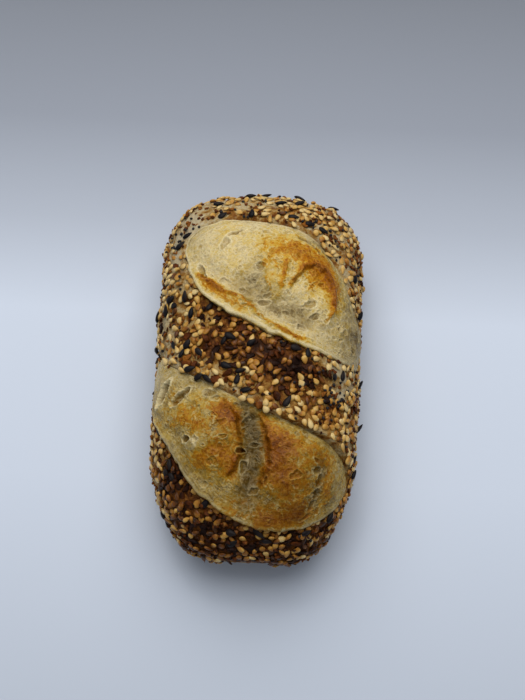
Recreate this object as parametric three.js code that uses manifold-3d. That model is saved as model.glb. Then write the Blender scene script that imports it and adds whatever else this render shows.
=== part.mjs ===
// A small seeded sourdough batard, in millimetres.
//
// +Y runs along the loaf to its far end, +X across it and +Z up. The origin is under the middle of the loaf,
// on the surface that it rests on. The loaf is one solid: a domed skin on a flat underside, two slanting
// cuts that opened while it baked, with the dough that rose through them, and the seeds baked onto the skin.
//
// A place on the skin is a pair (girth, along): the millimetres round the loaf from the line of its crest,
// towards +X, and the y of that place.
import * as THREE from "three";
import { mergeVertices } from "three/addons/utils/BufferGeometryUtils.js";
import { MeshSurfaceSampler } from "three/addons/math/MeshSurfaceSampler.js";
import Module from "manifold-3d";

// The bare loaf. A squareness of 2 is an ellipse, and a higher one is closer to a rectangle.
const HALF_WIDTH = 38.4;
const HALF_LENGTH = 72.4;
const HEIGHT = 51;
const WIDEST_AT = 20; // height of the widest section line
const BELOW_WIDEST = 30; // how deep the lower half would be if it were not flat underneath
const DOME_SQUARENESS = 2.35;
const FAR_END_SQUARENESS = 3.9;
const NEAR_END_SQUARENESS = 3.25;
const FAR_FLARE = 0.035; // share by which the far end is wider than the middle
const END_SWELL = 0.044; // share by which both ends keep their width
const GIRTH_PER_RADIAN = 36;

// The mesh of the skin: cells over the dome and sides, cells under the loaf, and rows from end to end.
const DOME_CELLS = 40;
const UNDERSIDE_CELLS = 4;
const DOME_ANGLE = THREE.MathUtils.degToRad(136); // from the crest to the edge of the underside
const ROWS = 42;
const FOOT_ROUNDING = 3; // how far above and below its lowest level the skin bends into the underside

// The sole: the flat face with few corners that the loaf lies on. The skin round it is a little off the table.
const SOLE_HALF_WIDTH = 28;
const SOLE_HALF_LENGTH = 52;
const SOLE_SQUARENESS = 3;
const SOLE_CORNERS = 12;
const SOLE_STEP = 0.3;

// How deep a cut goes under the skin, and how a lip beside it fades into the skin.
const CUT_DEPTH = 5;
const LIP_FADE = 5;
const SKIN_LIP_SHARE = 0.6; // share of a skin lip's height that is the skin rising, not the dough lying low
const SKIN_SAG_SHARE = 0.25; // share of a dough lip's height by which the skin beside it sags

// An opening: its outline, clockwise from above, as [girth, along, edge] points. Edge is how far the opened
// dough stands over the skin beside it, or under it where it is negative. Rise is how far the dough domes up
// in the middle. Swells are rounded rises and hollows in it: half-sizes, turned by so many degrees.
const FAR_OPENING = {
  outline: [
    [-27, 35, 1.1], [-29.5, 45, 0.3], [-22, 52.5, -0.3], [-8, 55.5, -0.8], [6, 54.5, -1], [18, 49, -1],
    [28, 37.5, -0.7], [38, 24, 0.1], [49, 15, 0.2], [54, 7, 0.2], [48, 0, 0.5], [31, -1.5, 1.2],
    [14, 1.5, 2.2], [-2, 8, 3], [-14, 15, 3.1], [-22, 24, 2.3],
  ],
  rise: 2.4,
  swells: [
    { at: [13, 38], half: [13, 9], turn: 0, height: 2.2 },
    { at: [-15, 41], half: [9, 8], turn: 0, height: 1.3 },
    { at: [5, 17.5], half: [17, 4.2], turn: -27, height: -3.4 },
    { at: [-2.5, 14.5], half: [20, 2.2], turn: -34, height: 1.4 },
    { at: [24.5, 21], half: [9, 2.2], turn: 84, height: 1.3 },
    { at: [16, 32.5], half: [8, 2], turn: 0, height: 1.1 },
  ],
};
const NEAR_OPENING = {
  outline: [
    [-57, -4, 0.2], [-46, 0.5, 0.1], [-36, -3.8, -0.3], [-19, -12, -0.8], [-1, -21, -1.6], [16, -27, -2.6],
    [32, -33.5, -2.4], [43, -40.5, -0.8], [45, -48, 0.2], [37, -56, 0.9], [22, -62.5, 1.6], [5, -63.5, 2.2],
    [-10, -59, 2.7], [-22, -49.5, 2.8], [-32, -34.5, 2.3], [-43, -22, 1.2], [-54, -14, 0.4],
  ],
  rise: 2,
  swells: [
    { at: [-16, -34], half: [11, 14], turn: -15, height: 2.8 },
    { at: [18, -45], half: [12, 14], turn: 10, height: 2.8 },
    { at: [0, -38], half: [15, 4.6], turn: 90, height: -4.6 },
    { at: [2, -54], half: [9, 3], turn: 0, height: -0.9 },
  ],
};
// Bubbles that burst open on the dough, large enough to be cut out: centre, half-sizes, turn and depth.
const BURST_BUBBLES = [
  { at: [-33, -14], half: [5.4, 1.7], turn: 63, depth: 1.7 },
  { at: [-24.5, -17.5], half: [5, 1.7], turn: 44, depth: 1.1 },
  { at: [-3, -38], half: [2.2, 1.4], turn: 20, depth: 3 },
  { at: [-21.7, -34.5], half: [1.6, 1.3], turn: 0, depth: 1.8 },
  { at: [23.8, -47], half: [2.6, 1.4], turn: 85, depth: 1.5 },
  { at: [-12.8, 41], half: [2.7, 1.8], turn: 70, depth: 1.1 },
  { at: [-20.4, 30], half: [3.4, 1.2], turn: -68, depth: 1.3 },
  { at: [1.2, 17.1], half: [1.9, 1.4], turn: 0, depth: 1.3 },
];
const RING_REACHES = [0.16, 0.31, 0.45, 0.57, 0.68, 0.77, 0.85, 0.915, 0.965, 1];
const SPOKES = 56;
const ROOT_REACH = 0.965; // the lip curls back to this reach under its rim
const RIM_WIDTH = 4;
const HEADROOM = 6; // how far the solid that cuts an opening stands over the dough
const CUTTER_SCALE = 0.995; // its size beside the dough, which so reaches into the walls of the cut

// The seeds that show from a step away, largest first: full length, width and thickness, how many there are,
// and how far the widest place is from the middle, as a share of the length.
const TOPPINGS = [
  { name: "onion flake", size: [5.4, 4.2, 1.6], count: 20, point: 0.05 },
  { name: "dark seed", size: [3.8, 2.9, 1.8], count: 44, point: 0.06 },
  { name: "sesame seed", size: [3.5, 2.7, 1.8], count: 120, point: 0.13 },
];
const SUNK_SHARE = 0.3; // share of a seed's thickness, from its middle, that is down in the skin
const CLEAR_OF_OPENING = 1.2;
const CLEAR_OF_TABLE = 5;
const SEED_GAP = 0.78; // closest centres, as a share of the two seeds' mean length
const RANDOM_SEED = 20;

const wasm = await Module();
wasm.setup();

// Repeatable random numbers from 0 to 1.
function makeRandom(seed) {
  let state = seed;
  return () => {
    state = (state + 0x6d2b79f5) | 0;
    let mixed = Math.imul(state ^ (state >>> 15), 1 | state);
    mixed = (mixed + Math.imul(mixed ^ (mixed >>> 7), 61 | mixed)) ^ mixed;
    return ((mixed ^ (mixed >>> 14)) >>> 0) / 4294967296;
  };
}

const roundedFall = (share, squareness) => Math.max(1 - Math.abs(share) ** squareness, 0) ** (1 / squareness);
const squareRadius = (sine, cosine, squareness) =>
  (Math.abs(sine) ** squareness + Math.abs(cosine) ** squareness) ** (-1 / squareness);

// The plain domed form, before any cut or lip.
function plainPoint(girth, along) {
  const share = along / HALF_LENGTH;
  const farShare = 0.5 + 0.5 * Math.tanh(share * 6);
  const squareness = THREE.MathUtils.lerp(NEAR_END_SQUARENESS, FAR_END_SQUARENESS, farShare);
  const flare = 1 + FAR_FLARE * share + END_SWELL * share ** 2;
  const halfWidth = HALF_WIDTH * flare * roundedFall(share, squareness);
  const endFall = roundedFall(share, DOME_SQUARENESS);
  const angle = girth / GIRTH_PER_RADIAN;
  const sine = Math.sin(angle);
  const cosine = Math.cos(angle);
  const radius = squareRadius(sine, cosine, DOME_SQUARENESS);
  const depth = cosine > 0 ? HEIGHT - WIDEST_AT : BELOW_WIDEST;
  const height = WIDEST_AT + depth * endFall * radius * cosine;
  return new THREE.Vector3(halfWidth * radius * sine, along, flattened(height));
}

// Heights over the sole's step as they are, those under it on the step, and a round bend between the two.
function flattened(height) {
  const over = height - SOLE_STEP;
  if (over >= FOOT_ROUNDING) return height;
  if (over <= -FOOT_ROUNDING) return SOLE_STEP;
  return SOLE_STEP + (over + FOOT_ROUNDING) ** 2 / (4 * FOOT_ROUNDING);
}

function plainNormal(girth, along) {
  const step = 0.05;
  const inside = THREE.MathUtils.clamp(along, -HALF_LENGTH + 2 * step, HALF_LENGTH - 2 * step);
  const across = plainPoint(girth + step, inside).sub(plainPoint(girth - step, inside));
  const onward = plainPoint(girth, inside + step).sub(plainPoint(girth, inside - step));
  return across.cross(onward).normalize();
}

const liftedPoint = (girth, along, lift) =>
  plainPoint(girth, along).addScaledVector(plainNormal(girth, along), lift);

// The slow unevenness of a hand-shaped loaf, as waves through space.
function unevenness(girth, along) {
  const { x, y, z } = plainPoint(girth, along);
  return (
    0.5 * Math.sin(x / 11 + 1.3) * Math.sin(y / 13 + 0.4) +
    0.35 * Math.sin(x / 6.1 - y / 8.3 + z / 9) +
    0.25 * Math.sin(y / 4.7 + z / 5.3)
  );
}

// An opening's outline as evenly spaced points (x girth, y along, z edge).
function outlinePoints(opening, count) {
  const corners = opening.outline.map(([girth, along, edge]) => new THREE.Vector3(girth, along, edge));
  const points = new THREE.CatmullRomCurve3(corners, true, "catmullrom", 0.5).getSpacedPoints(count);
  return points.slice(0, count);
}

const OPENINGS = [FAR_OPENING, NEAR_OPENING].map((opening) => {
  const points = outlinePoints(opening, 240);
  const centre = points.reduce((sum, p) => sum.add(p), new THREE.Vector3()).divideScalar(points.length);
  return { ...opening, points, centre };
});

// How far a place is inside an opening's outline, negative outside, and the edge height nearest to it.
function insideOpening(opening, girth, along) {
  let nearest = Infinity;
  let edge = 0;
  let crossings = 0;
  opening.points.forEach((point, i) => {
    const next = opening.points[(i + 1) % opening.points.length];
    const distance = Math.hypot(point.x - girth, point.y - along);
    if (distance < nearest) {
      nearest = distance;
      edge = point.z;
    }
    if (point.y > along !== next.y > along) {
      const share = (along - point.y) / (next.y - point.y);
      if (girth < point.x + share * (next.x - point.x)) crossings += 1;
    }
  });
  return { depth: crossings % 2 ? nearest : -nearest, edge };
}

// Lift of the skin: raised beside dough that lies lower, and sunk a little beside dough that overhangs it.
function skinLift(girth, along) {
  let lift = unevenness(girth, along);
  for (const opening of OPENINGS) {
    const { depth, edge } = insideOpening(opening, girth, along);
    const fade = Math.exp(-((depth / LIP_FADE) ** 2));
    lift -= (edge < 0 ? SKIN_LIP_SHARE : SKIN_SAG_SHARE) * edge * fade;
  }
  return lift;
}

// A smooth rise of 1 at the middle of an oval, fading to nothing outside it.
function ovalShare({ at, half, turn }, girth, along) {
  const angle = THREE.MathUtils.degToRad(turn);
  const right = girth - at[0];
  const far = along - at[1];
  const lengthwise = (right * Math.cos(angle) + far * Math.sin(angle)) / half[0];
  const crosswise = (far * Math.cos(angle) - right * Math.sin(angle)) / half[1];
  return Math.exp(-(lengthwise ** 2 + crosswise ** 2));
}

// A point on the opened dough: reach is its share of the way from the middle to a point of the outline.
function doughPoint(opening, reach, end, extraLift) {
  const { centre, rise, swells } = opening;
  const { x: girth, y: along } = centre.clone().lerp(end, reach);
  const rimDistance = (1 - reach) * Math.hypot(end.x - centre.x, end.y - centre.y);
  const rim = end.z * Math.exp(-((rimDistance / RIM_WIDTH) ** 2));
  const dome = rise * (1 - reach ** 3);
  const relief = swells.reduce((sum, swell) => sum + swell.height * ovalShare(swell, girth, along), 0);
  const calm = 1 - reach ** 5; // the swells fade out towards the rim
  return liftedPoint(girth, along, unevenness(girth, along) + dome + rim + calm * relief + extraLift);
}

// A closed mesh from points and triangles, with a place on the skin for each point.
function meshGeometry(points, triangles, places) {
  const geometry = new THREE.BufferGeometry().setFromPoints(points).setIndex(triangles.flat());
  if (places) geometry.setAttribute("uv", new THREE.Float32BufferAttribute(places.flat(), 2));
  geometry.computeVertexNormals();
  return geometry;
}

// The skin: rings of points round the loaf, from a point at the near end to a point at the far end.
function skinGeometry() {
  const evenly = (from, to, cells) =>
    Array.from({ length: cells }, (_, i) => THREE.MathUtils.lerp(from, to, i / cells));
  const angles = [
    ...evenly(-DOME_ANGLE, DOME_ANGLE, DOME_CELLS),
    ...evenly(DOME_ANGLE, 2 * Math.PI - DOME_ANGLE, UNDERSIDE_CELLS),
  ];
  const wrapped = (angle) => (angle > Math.PI ? angle - 2 * Math.PI : angle);
  const points = [new THREE.Vector3(0, -HALF_LENGTH, WIDEST_AT)];
  const places = [[0, -HALF_LENGTH]];
  for (let row = 1; row < ROWS; row += 1) {
    const turn = THREE.MathUtils.lerp(-Math.PI / 2, Math.PI / 2, row / ROWS);
    const radius = squareRadius(Math.sin(turn), Math.cos(turn), DOME_SQUARENESS);
    const along = HALF_LENGTH * radius * Math.sin(turn);
    for (const angle of angles) {
      const girth = GIRTH_PER_RADIAN * wrapped(angle);
      const plain = plainPoint(girth, along);
      const settled = THREE.MathUtils.smoothstep(plain.z, 1, 8); // no relief down at the underside
      points.push(plain.addScaledVector(plainNormal(girth, along), settled * skinLift(girth, along)));
      places.push([girth, along]);
    }
  }
  points.push(new THREE.Vector3(0, HALF_LENGTH, WIDEST_AT));
  places.push([0, HALF_LENGTH]);
  const ring = angles.length;
  const last = points.length - 1;
  const triangles = [];
  for (let i = 0; i < ring; i += 1) {
    const j = (i + 1) % ring;
    triangles.push([0, 1 + j, 1 + i], [last, last - ring + i, last - ring + j]);
    for (let row = 0; row < ROWS - 2; row += 1) {
      const near = 1 + row * ring;
      const far = near + ring;
      triangles.push([near + i, near + j, far + j], [near + i, far + j, far + i]);
    }
  }
  return meshGeometry(points, triangles, places);
}

// The dough in an opening: rings out to the outline, a lip that curls back, and a root inside the loaf. With
// headroom it is the solid that the cut takes out of the skin: a little smaller, standing up past the skin.
function doughGeometry(opening, headroom) {
  const { centre } = opening;
  const scale = headroom > 0 ? CUTTER_SCALE : 1;
  const rim = outlinePoints(opening, SPOKES).map((end) => end.clone().lerp(centre, 1 - scale).setZ(end.z));
  const rings = RING_REACHES.map((reach) => ({ reach, extra: headroom }));
  if (headroom > 0) rings.push({ reach: 1, extra: 0 });
  const points = [doughPoint(opening, 0, rim[0], headroom)];
  for (const { reach, extra } of rings) {
    for (const end of rim) points.push(doughPoint(opening, reach, end, extra));
  }
  for (const end of rim) {
    const foot = centre.clone().lerp(end, ROOT_REACH);
    points.push(liftedPoint(foot.x, foot.y, -CUT_DEPTH));
  }
  points.push(liftedPoint(centre.x, centre.y, -2 * CUT_DEPTH));
  const root = points.length - 1;
  const triangles = [];
  for (let i = 0; i < SPOKES; i += 1) {
    const j = (i + 1) % SPOKES;
    triangles.push([0, 1 + j, 1 + i], [root, root - SPOKES + i, root - SPOKES + j]);
    for (let ring = 0; ring < rings.length; ring += 1) {
      const inner = 1 + ring * SPOKES;
      const outer = inner + SPOKES;
      triangles.push([inner + i, outer + j, outer + i], [inner + i, inner + j, outer + j]);
    }
  }
  return meshGeometry(points, triangles);
}

// The sole, a thin plate that reaches up into the loaf.
function soleGeometry() {
  const corners = Array.from({ length: SOLE_CORNERS }, (_, i) => {
    const turn = (2 * Math.PI * (i + 0.5)) / SOLE_CORNERS;
    const radius = squareRadius(Math.sin(turn), Math.cos(turn), SOLE_SQUARENESS);
    return new THREE.Vector2(
      SOLE_HALF_WIDTH * radius * Math.cos(turn),
      SOLE_HALF_LENGTH * radius * Math.sin(turn),
    );
  });
  return new THREE.ExtrudeGeometry(new THREE.Shape(corners), { depth: 4 * SOLE_STEP, bevelEnabled: false });
}

// A frame of three axes on the skin: along the piece, across it, and out of the skin.
function skinFrame(outward, turn) {
  const side = new THREE.Vector3(0, 1, 0).cross(outward);
  if (side.lengthSq() < 1e-6) side.set(1, 0, 0);
  side.normalize().applyAxisAngle(outward, turn);
  return new THREE.Matrix4().makeBasis(side, new THREE.Vector3().crossVectors(outward, side), outward);
}

// A solid to cut a burst bubble with: a squashed ball whose middle is on the dough's surface.
function bubbleGeometry({ at, half, turn, depth }) {
  const [girth, along] = at;
  const opening = OPENINGS.find((one) => insideOpening(one, girth, along).depth > 0);
  const { centre, points } = opening;
  const heading = new THREE.Vector2(girth - centre.x, along - centre.y);
  const turnTo = (end) => new THREE.Vector2(end.x - centre.x, end.y - centre.y).angleTo(heading);
  const end = points.reduce((best, point) => (turnTo(point) < turnTo(best) ? point : best));
  const reach = heading.length() / Math.hypot(end.x - centre.x, end.y - centre.y);
  const surface = doughPoint(opening, reach, end, 0);
  const geometry = new THREE.SphereGeometry(1, 8, 5);
  geometry.rotateX(Math.PI / 2);
  geometry.scale(half[0], half[1], depth);
  geometry.applyMatrix4(skinFrame(plainNormal(girth, along), THREE.MathUtils.degToRad(turn)));
  return geometry.translate(surface.x, surface.y, surface.z);
}

// One seed or flake: an eight-sided spindle with its widest place off the middle, drawn out to its size.
function toppingGeometry({ size, point }) {
  const geometry = new THREE.OctahedronGeometry(0.5, 0);
  const position = geometry.getAttribute("position");
  for (let i = 0; i < position.count; i += 1) {
    const isAtTip = Math.abs(position.getX(i)) > 0.4;
    if (!isAtTip) position.setX(i, -point);
  }
  return geometry.scale(...size);
}

// Seeds spread over the skin by area, largest first, each clear of the openings and of the last ones.
function placedToppings(skin) {
  const random = makeRandom(RANDOM_SEED);
  const sampler = new MeshSurfaceSampler(new THREE.Mesh(skin)).setRandomGenerator(random).build();
  const placed = [];
  const solids = [];
  const spot = new THREE.Vector3();
  const outward = new THREE.Vector3();
  const place = new THREE.Vector2();
  for (const topping of TOPPINGS) {
    let left = topping.count;
    for (let tries = 0; left > 0 && tries < 20000; tries += 1) {
      sampler.sample(spot, outward, undefined, place);
      const turn = random() * 2 * Math.PI;
      const grown = 0.88 + 0.24 * random();
      const length = topping.size[0] * grown;
      const crowded = placed.some(
        (other) => other.spot.distanceTo(spot) < (SEED_GAP * (other.length + length)) / 2,
      );
      const overDough = OPENINGS.some(
        (opening) => insideOpening(opening, place.x, place.y).depth > -CLEAR_OF_OPENING,
      );
      if (crowded || overDough || spot.z < CLEAR_OF_TABLE) continue;
      const proud = (0.5 - SUNK_SHARE) * topping.size[2] * grown;
      const geometry = toppingGeometry(topping).scale(grown, grown, grown);
      geometry.applyMatrix4(skinFrame(outward, turn));
      geometry.translate(...spot.clone().addScaledVector(outward, proud).toArray());
      placed.push({ spot: spot.clone(), length });
      solids.push(solidOf(geometry));
      left -= 1;
    }
  }
  return solids;
}

// A three.js mesh as a manifold-3d solid, and back.
function solidOf(geometry) {
  const bare = geometry.clone();
  bare.deleteAttribute("normal");
  bare.deleteAttribute("uv");
  const merged = mergeVertices(bare, 1e-3);
  return new wasm.Manifold(
    new wasm.Mesh({
      numProp: 3,
      vertProperties: merged.attributes.position.array,
      triVerts: new Uint32Array(merged.index.array),
    }),
  );
}

function geometryOf(solid) {
  const mesh = solid.getMesh();
  const geometry = new THREE.BufferGeometry();
  geometry.setAttribute("position", new THREE.BufferAttribute(new Float32Array(mesh.vertProperties), 3));
  geometry.setIndex(new THREE.BufferAttribute(new Uint32Array(mesh.triVerts), 1));
  geometry.computeVertexNormals();
  return geometry;
}

// The whole loaf: the skin on its sole, cut open and filled with dough, the bubbles cut, and the seeds joined
// on. Only the one large body is kept, which fills any hollow that is sealed between seeds.
function loafGeometry() {
  const skin = skinGeometry();
  let loaf = solidOf(skin).add(solidOf(soleGeometry()));
  for (const opening of OPENINGS) {
    loaf = loaf.subtract(solidOf(doughGeometry(opening, HEADROOM))).add(solidOf(doughGeometry(opening, 0)));
  }
  for (const bubble of BURST_BUBBLES) loaf = loaf.subtract(solidOf(bubbleGeometry(bubble)));
  for (const topping of placedToppings(skin)) loaf = loaf.add(topping);
  const bodies = loaf.decompose().sort((one, other) => other.volume() - one.volume());
  const geometry = geometryOf(bodies[0]);
  geometry.computeBoundingBox();
  const middle = geometry.boundingBox.getCenter(new THREE.Vector3());
  return geometry.translate(-middle.x, -middle.y, 0);
}

const bakedCrust = new THREE.MeshStandardMaterial({ color: 0xb58a4e, roughness: 0.75, metalness: 0 });

const batard = new THREE.Group();
const loaf = new THREE.Mesh(loafGeometry(), bakedCrust);
loaf.name = "seeded_loaf";
batard.add(loaf);

export default batard;
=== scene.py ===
"""A small seeded sourdough batard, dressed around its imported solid.

The loaf is a domed skin with two slanting cuts. Dough rose through each cut and baked into pale and golden
swells, with burst bubbles and browned folds. Sesame, black sesame, poppy seed and browned onion lie on it.

A place on the skin is a pair (girth, along): the millimetres round the loaf from the line of its crest,
towards +X, and the y of that place. Shapes are worked out in millimetres and made in metres.
"""

import logging
import math
from collections import defaultdict
from dataclasses import dataclass, field
from enum import Enum
from typing import Optional, Sequence, Union

import bpy
import numpy as np
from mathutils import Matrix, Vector, noise


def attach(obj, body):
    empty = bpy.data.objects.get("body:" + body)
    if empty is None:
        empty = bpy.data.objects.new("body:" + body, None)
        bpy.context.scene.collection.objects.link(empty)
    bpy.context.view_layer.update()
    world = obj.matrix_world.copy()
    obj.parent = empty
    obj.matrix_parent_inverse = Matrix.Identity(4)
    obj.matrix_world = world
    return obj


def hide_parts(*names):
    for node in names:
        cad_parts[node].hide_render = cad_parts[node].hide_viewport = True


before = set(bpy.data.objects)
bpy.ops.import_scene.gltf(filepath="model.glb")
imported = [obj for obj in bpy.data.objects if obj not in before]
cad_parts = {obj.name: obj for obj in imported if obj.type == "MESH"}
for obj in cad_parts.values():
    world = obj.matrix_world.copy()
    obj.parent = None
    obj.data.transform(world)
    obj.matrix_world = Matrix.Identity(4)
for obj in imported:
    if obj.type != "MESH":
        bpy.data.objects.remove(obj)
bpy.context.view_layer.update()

log = logging.getLogger("batard")

Array = np.ndarray
Pair = tuple[float, float]
Colour = tuple[float, float, float]
Stops = Sequence[tuple[float, Colour]]
Socket = bpy.types.NodeSocket
Value = Union[Socket, float, Colour]

MM = 0.001
DOUGH_RANDOM_SEED = 21
TINY = 1e-9  # keeps a division by almost nothing from failing
STEPS_PER_CORNER = 24  # how finely a curve is worked out from one of its corners to the next
LOAF_NODE = "seeded_loaf"
BODY = "root"


# ---------------------------------------------------------------- sums that several sub-assemblies share


def step_between(low: float, high: float, value: Array) -> Array:
    """A smooth step from 0 at low to 1 at high.

    Args:
        low: the value that gives 0.
        high: the value that gives 1.
        value: the values to judge.

    Returns:
        The shares, each from 0 to 1.
    """
    share = np.clip((value - low) / (high - low), 0.0, 1.0)
    return share * share * (3 - 2 * share)


def square_radius(sine: Array, cosine: Array, squareness: float) -> Array:
    """The radius of a rounded square in the direction that a sine and a cosine give."""
    total = np.abs(sine) ** squareness + np.abs(cosine) ** squareness
    return total ** (-1 / squareness)


def rounded_fall(share: Array, squareness: Array) -> Array:
    """How a height or width falls from 1 at the middle to 0 at an end."""
    return np.maximum(1 - np.abs(share) ** squareness, 0.0) ** (1 / squareness)


def unit(vectors: Array) -> Array:
    """The same vectors, each with length 1."""
    return vectors / np.maximum(np.linalg.norm(vectors, axis=-1, keepdims=True), TINY)


def roughness_at(points: Array, size: float, octaves: int, shift: float) -> Array:
    """Fractal noise through space.

    Args:
        points: points in millimetres, one a row.
        size: the width of its largest lumps, in millimetres.
        octaves: how many finer layers it has.
        shift: a number that picks another stretch of the noise.

    Returns:
        One number a point, mostly from -1 to 1.
    """
    places = (points / size + shift).tolist()
    return np.array([noise.fractal(place, 1.0, 2.0, octaves) for place in places])


def smooth_loop(corners: Array, count: int, closed: bool) -> Array:
    """A smooth curve through corners, as evenly spaced points.

    Args:
        corners: the points that it passes, one a row.
        count: how many points to give back.
        closed: whether the curve joins up with its start.

    Returns:
        The points, one a row.
    """
    if closed:
        padded = np.vstack([corners[-1:], corners, corners[:2]])
    else:
        padded = np.vstack([2 * corners[:1] - corners[1:2], corners, 2 * corners[-1:] - corners[-2:-1]])
    steps = np.linspace(0, 1, STEPS_PER_CORNER, endpoint=False)[:, None]
    spans = []
    for before, start, end, after in zip(padded[:-3], padded[1:-2], padded[2:-1], padded[3:]):
        bend = 2 * before - 5 * start + 4 * end - after
        twist = 3 * start - before - 3 * end + after
        spans.append(0.5 * (2 * start + (end - before) * steps + bend * steps**2 + twist * steps**3))
    fine = np.vstack([*spans, corners[:1] if closed else corners[-1:]])
    travel = np.r_[0, np.cumsum(np.linalg.norm(np.diff(fine[:, :2], axis=0), axis=1))]
    stops = np.linspace(0, travel[-1], count, endpoint=not closed)
    return np.stack([np.interp(stops, travel, fine[:, k]) for k in range(fine.shape[1])], axis=1)


def follow(places: Array, path: Array) -> tuple[Array, Array, Array]:
    """Where places lie beside a path.

    Args:
        places: (girth, along) pairs, one a row.
        path: the points of the path, one a row.

    Returns:
        For each place its distance from the path, positive on the left and negative on the right; the same
        distance without a sign; and the share of the path that is behind it.
    """
    nearest = np.full(len(places), np.inf)
    side, travel = np.ones(len(places)), np.zeros(len(places))
    for number, (start, end) in enumerate(zip(path[:-1], path[1:])):
        span = end - start
        share = np.clip((places - start) @ span / max(span @ span, TINY), 0, 1)
        across = places[:, 0] - start[0] - share * span[0]
        onward = places[:, 1] - start[1] - share * span[1]
        gap = np.hypot(across, onward)
        closer = gap < nearest
        nearest[closer] = gap[closer]
        side[closer] = np.sign(span[0] * onward - span[1] * across)[closer]
        travel[closer] = ((number + share) / (len(path) - 1))[closer]
    return nearest * side, nearest, travel


def seen_from_oval(places: Array, at: Pair, half: Pair, turn: float) -> tuple[Array, Array]:
    """Where places lie as an oval sees them.

    Args:
        places: (girth, along) pairs, one a row.
        at: the oval's middle.
        half: its half-sizes, lengthwise and crosswise.
        turn: the turn of its length from the girth, in degrees.

    Returns:
        How far each place is from the middle, lengthwise and crosswise, in half-sizes.
    """
    angle = math.radians(turn)
    right, far = places[:, 0] - at[0], places[:, 1] - at[1]
    lengthwise = (right * math.cos(angle) + far * math.sin(angle)) / half[0]
    crosswise = (far * math.cos(angle) - right * math.sin(angle)) / half[1]
    return lengthwise, crosswise


# ---------------------------------------------------------------- the form of the loaf


@dataclass(frozen=True)
class LoafForm:
    """The bare domed loaf, in millimetres. A squareness of 2 is an ellipse."""

    half_width: float = 38.4
    half_length: float = 72.4
    height: float = 51.0
    widest_at: float = 20.0
    below_widest: float = 30.0
    dome_squareness: float = 2.35
    far_end_squareness: float = 3.9
    near_end_squareness: float = 3.25
    far_flare: float = 0.035
    end_swell: float = 0.044
    end_blend: float = 6.0  # how quickly the near end's squareness turns into the far end's
    girth_per_radian: float = 36.0
    foot_rounding: float = 3.0
    sole_step: float = 0.3
    slope_step: float = 0.05  # half the distance over which a slope is measured
    broad_waves: float = 0.5
    slanting_waves: float = 0.35
    lengthwise_waves: float = 0.25

    def flattened(self, height: Array) -> Array:
        """Bends heights round into the flat underside.

        Args:
            height: heights in millimetres.

        Returns:
            The heights, none of them under the sole.
        """
        over = height - self.sole_step
        bend = (over + self.foot_rounding) ** 2 / (4 * self.foot_rounding)
        low = np.where(over <= -self.foot_rounding, 0.0, bend)
        return self.sole_step + np.where(over >= self.foot_rounding, over, low)

    def plain(self, places: Array) -> Array:
        """Points of the bare dome.

        Args:
            places: (girth, along) pairs, one a row.

        Returns:
            Points in millimetres, one a row.
        """
        share = places[:, 1] / self.half_length
        far_share = 0.5 + 0.5 * np.tanh(share * self.end_blend)
        gain = self.far_end_squareness - self.near_end_squareness
        squareness = self.near_end_squareness + gain * far_share
        flare = 1 + self.far_flare * share + self.end_swell * share**2
        half_width = self.half_width * flare * rounded_fall(share, squareness)
        end_fall = rounded_fall(share, self.dome_squareness)
        angle = places[:, 0] / self.girth_per_radian
        sine, cosine = np.sin(angle), np.cos(angle)
        radius = square_radius(sine, cosine, self.dome_squareness)
        depth = np.where(cosine > 0, self.height - self.widest_at, self.below_widest)
        height = self.widest_at + depth * end_fall * radius * cosine
        return np.stack([half_width * radius * sine, places[:, 1], self.flattened(height)], axis=1)

    def outward(self, places: Array) -> Array:
        """The directions out of the bare dome.

        Args:
            places: (girth, along) pairs, one a row.

        Returns:
            Vectors of length 1, one a row.
        """
        step = self.slope_step
        inside = places.copy()
        inside[:, 1] = np.clip(places[:, 1], -self.half_length + 2 * step, self.half_length - 2 * step)
        across, onward = np.array([step, 0.0]), np.array([0.0, step])
        round_it = self.plain(inside + across) - self.plain(inside - across)
        along_it = self.plain(inside + onward) - self.plain(inside - onward)
        return unit(np.cross(round_it, along_it))

    def unevenness(self, places: Array) -> Array:
        """The slow unevenness of a hand-shaped loaf, as waves through space.

        Args:
            places: (girth, along) pairs, one a row.

        Returns:
            How far each place stands off the bare dome, in millimetres.
        """
        x, y, z = self.plain(places).T
        broad = self.broad_waves * np.sin(x / 11 + 1.3) * np.sin(y / 13 + 0.4)
        slanting = self.slanting_waves * np.sin(x / 6.1 - y / 8.3 + z / 9)
        lengthwise = self.lengthwise_waves * np.sin(y / 4.7 + z / 5.3)
        return broad + slanting + lengthwise

    def lifted(self, places: Array, lift: Array) -> Array:
        """Points off the bare dome by so many millimetres."""
        return self.plain(places) + self.outward(places) * lift[:, None]


@dataclass(frozen=True)
class Oval:
    """A soft oval patch on the loaf: its middle, half-sizes and turn, and what it does there.

    Lift raises the dough, brown bakes it darker, and crowd adds seeds. Of the two shares after brown,
    the first dulls it towards olive brown, partly as its own colour and partly as painted shade, and the
    second darkens it with painted shade and like thin dough over a hole.
    """

    at: Pair
    half: Pair
    turn: float = 0.0
    lift: float = 0.0
    brown: float = 0.0
    dull_and_shade: float = 0.0
    shade_and_thin_dough: float = 0.0
    crowd: float = 0.0

    def share(self, places: Array) -> Array:
        """How much of the patch each place gets: 1 in the middle, fading to nothing."""
        lengthwise, crosswise = seen_from_oval(places, self.at, self.half, self.turn)
        return np.exp(-(lengthwise**2 + crosswise**2))

    def shape(self, places: Array) -> tuple[Array, Array]:
        """How much of the patch each place gets, and the lift in millimetres."""
        share = self.share(places)
        return share, self.lift * share


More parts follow.
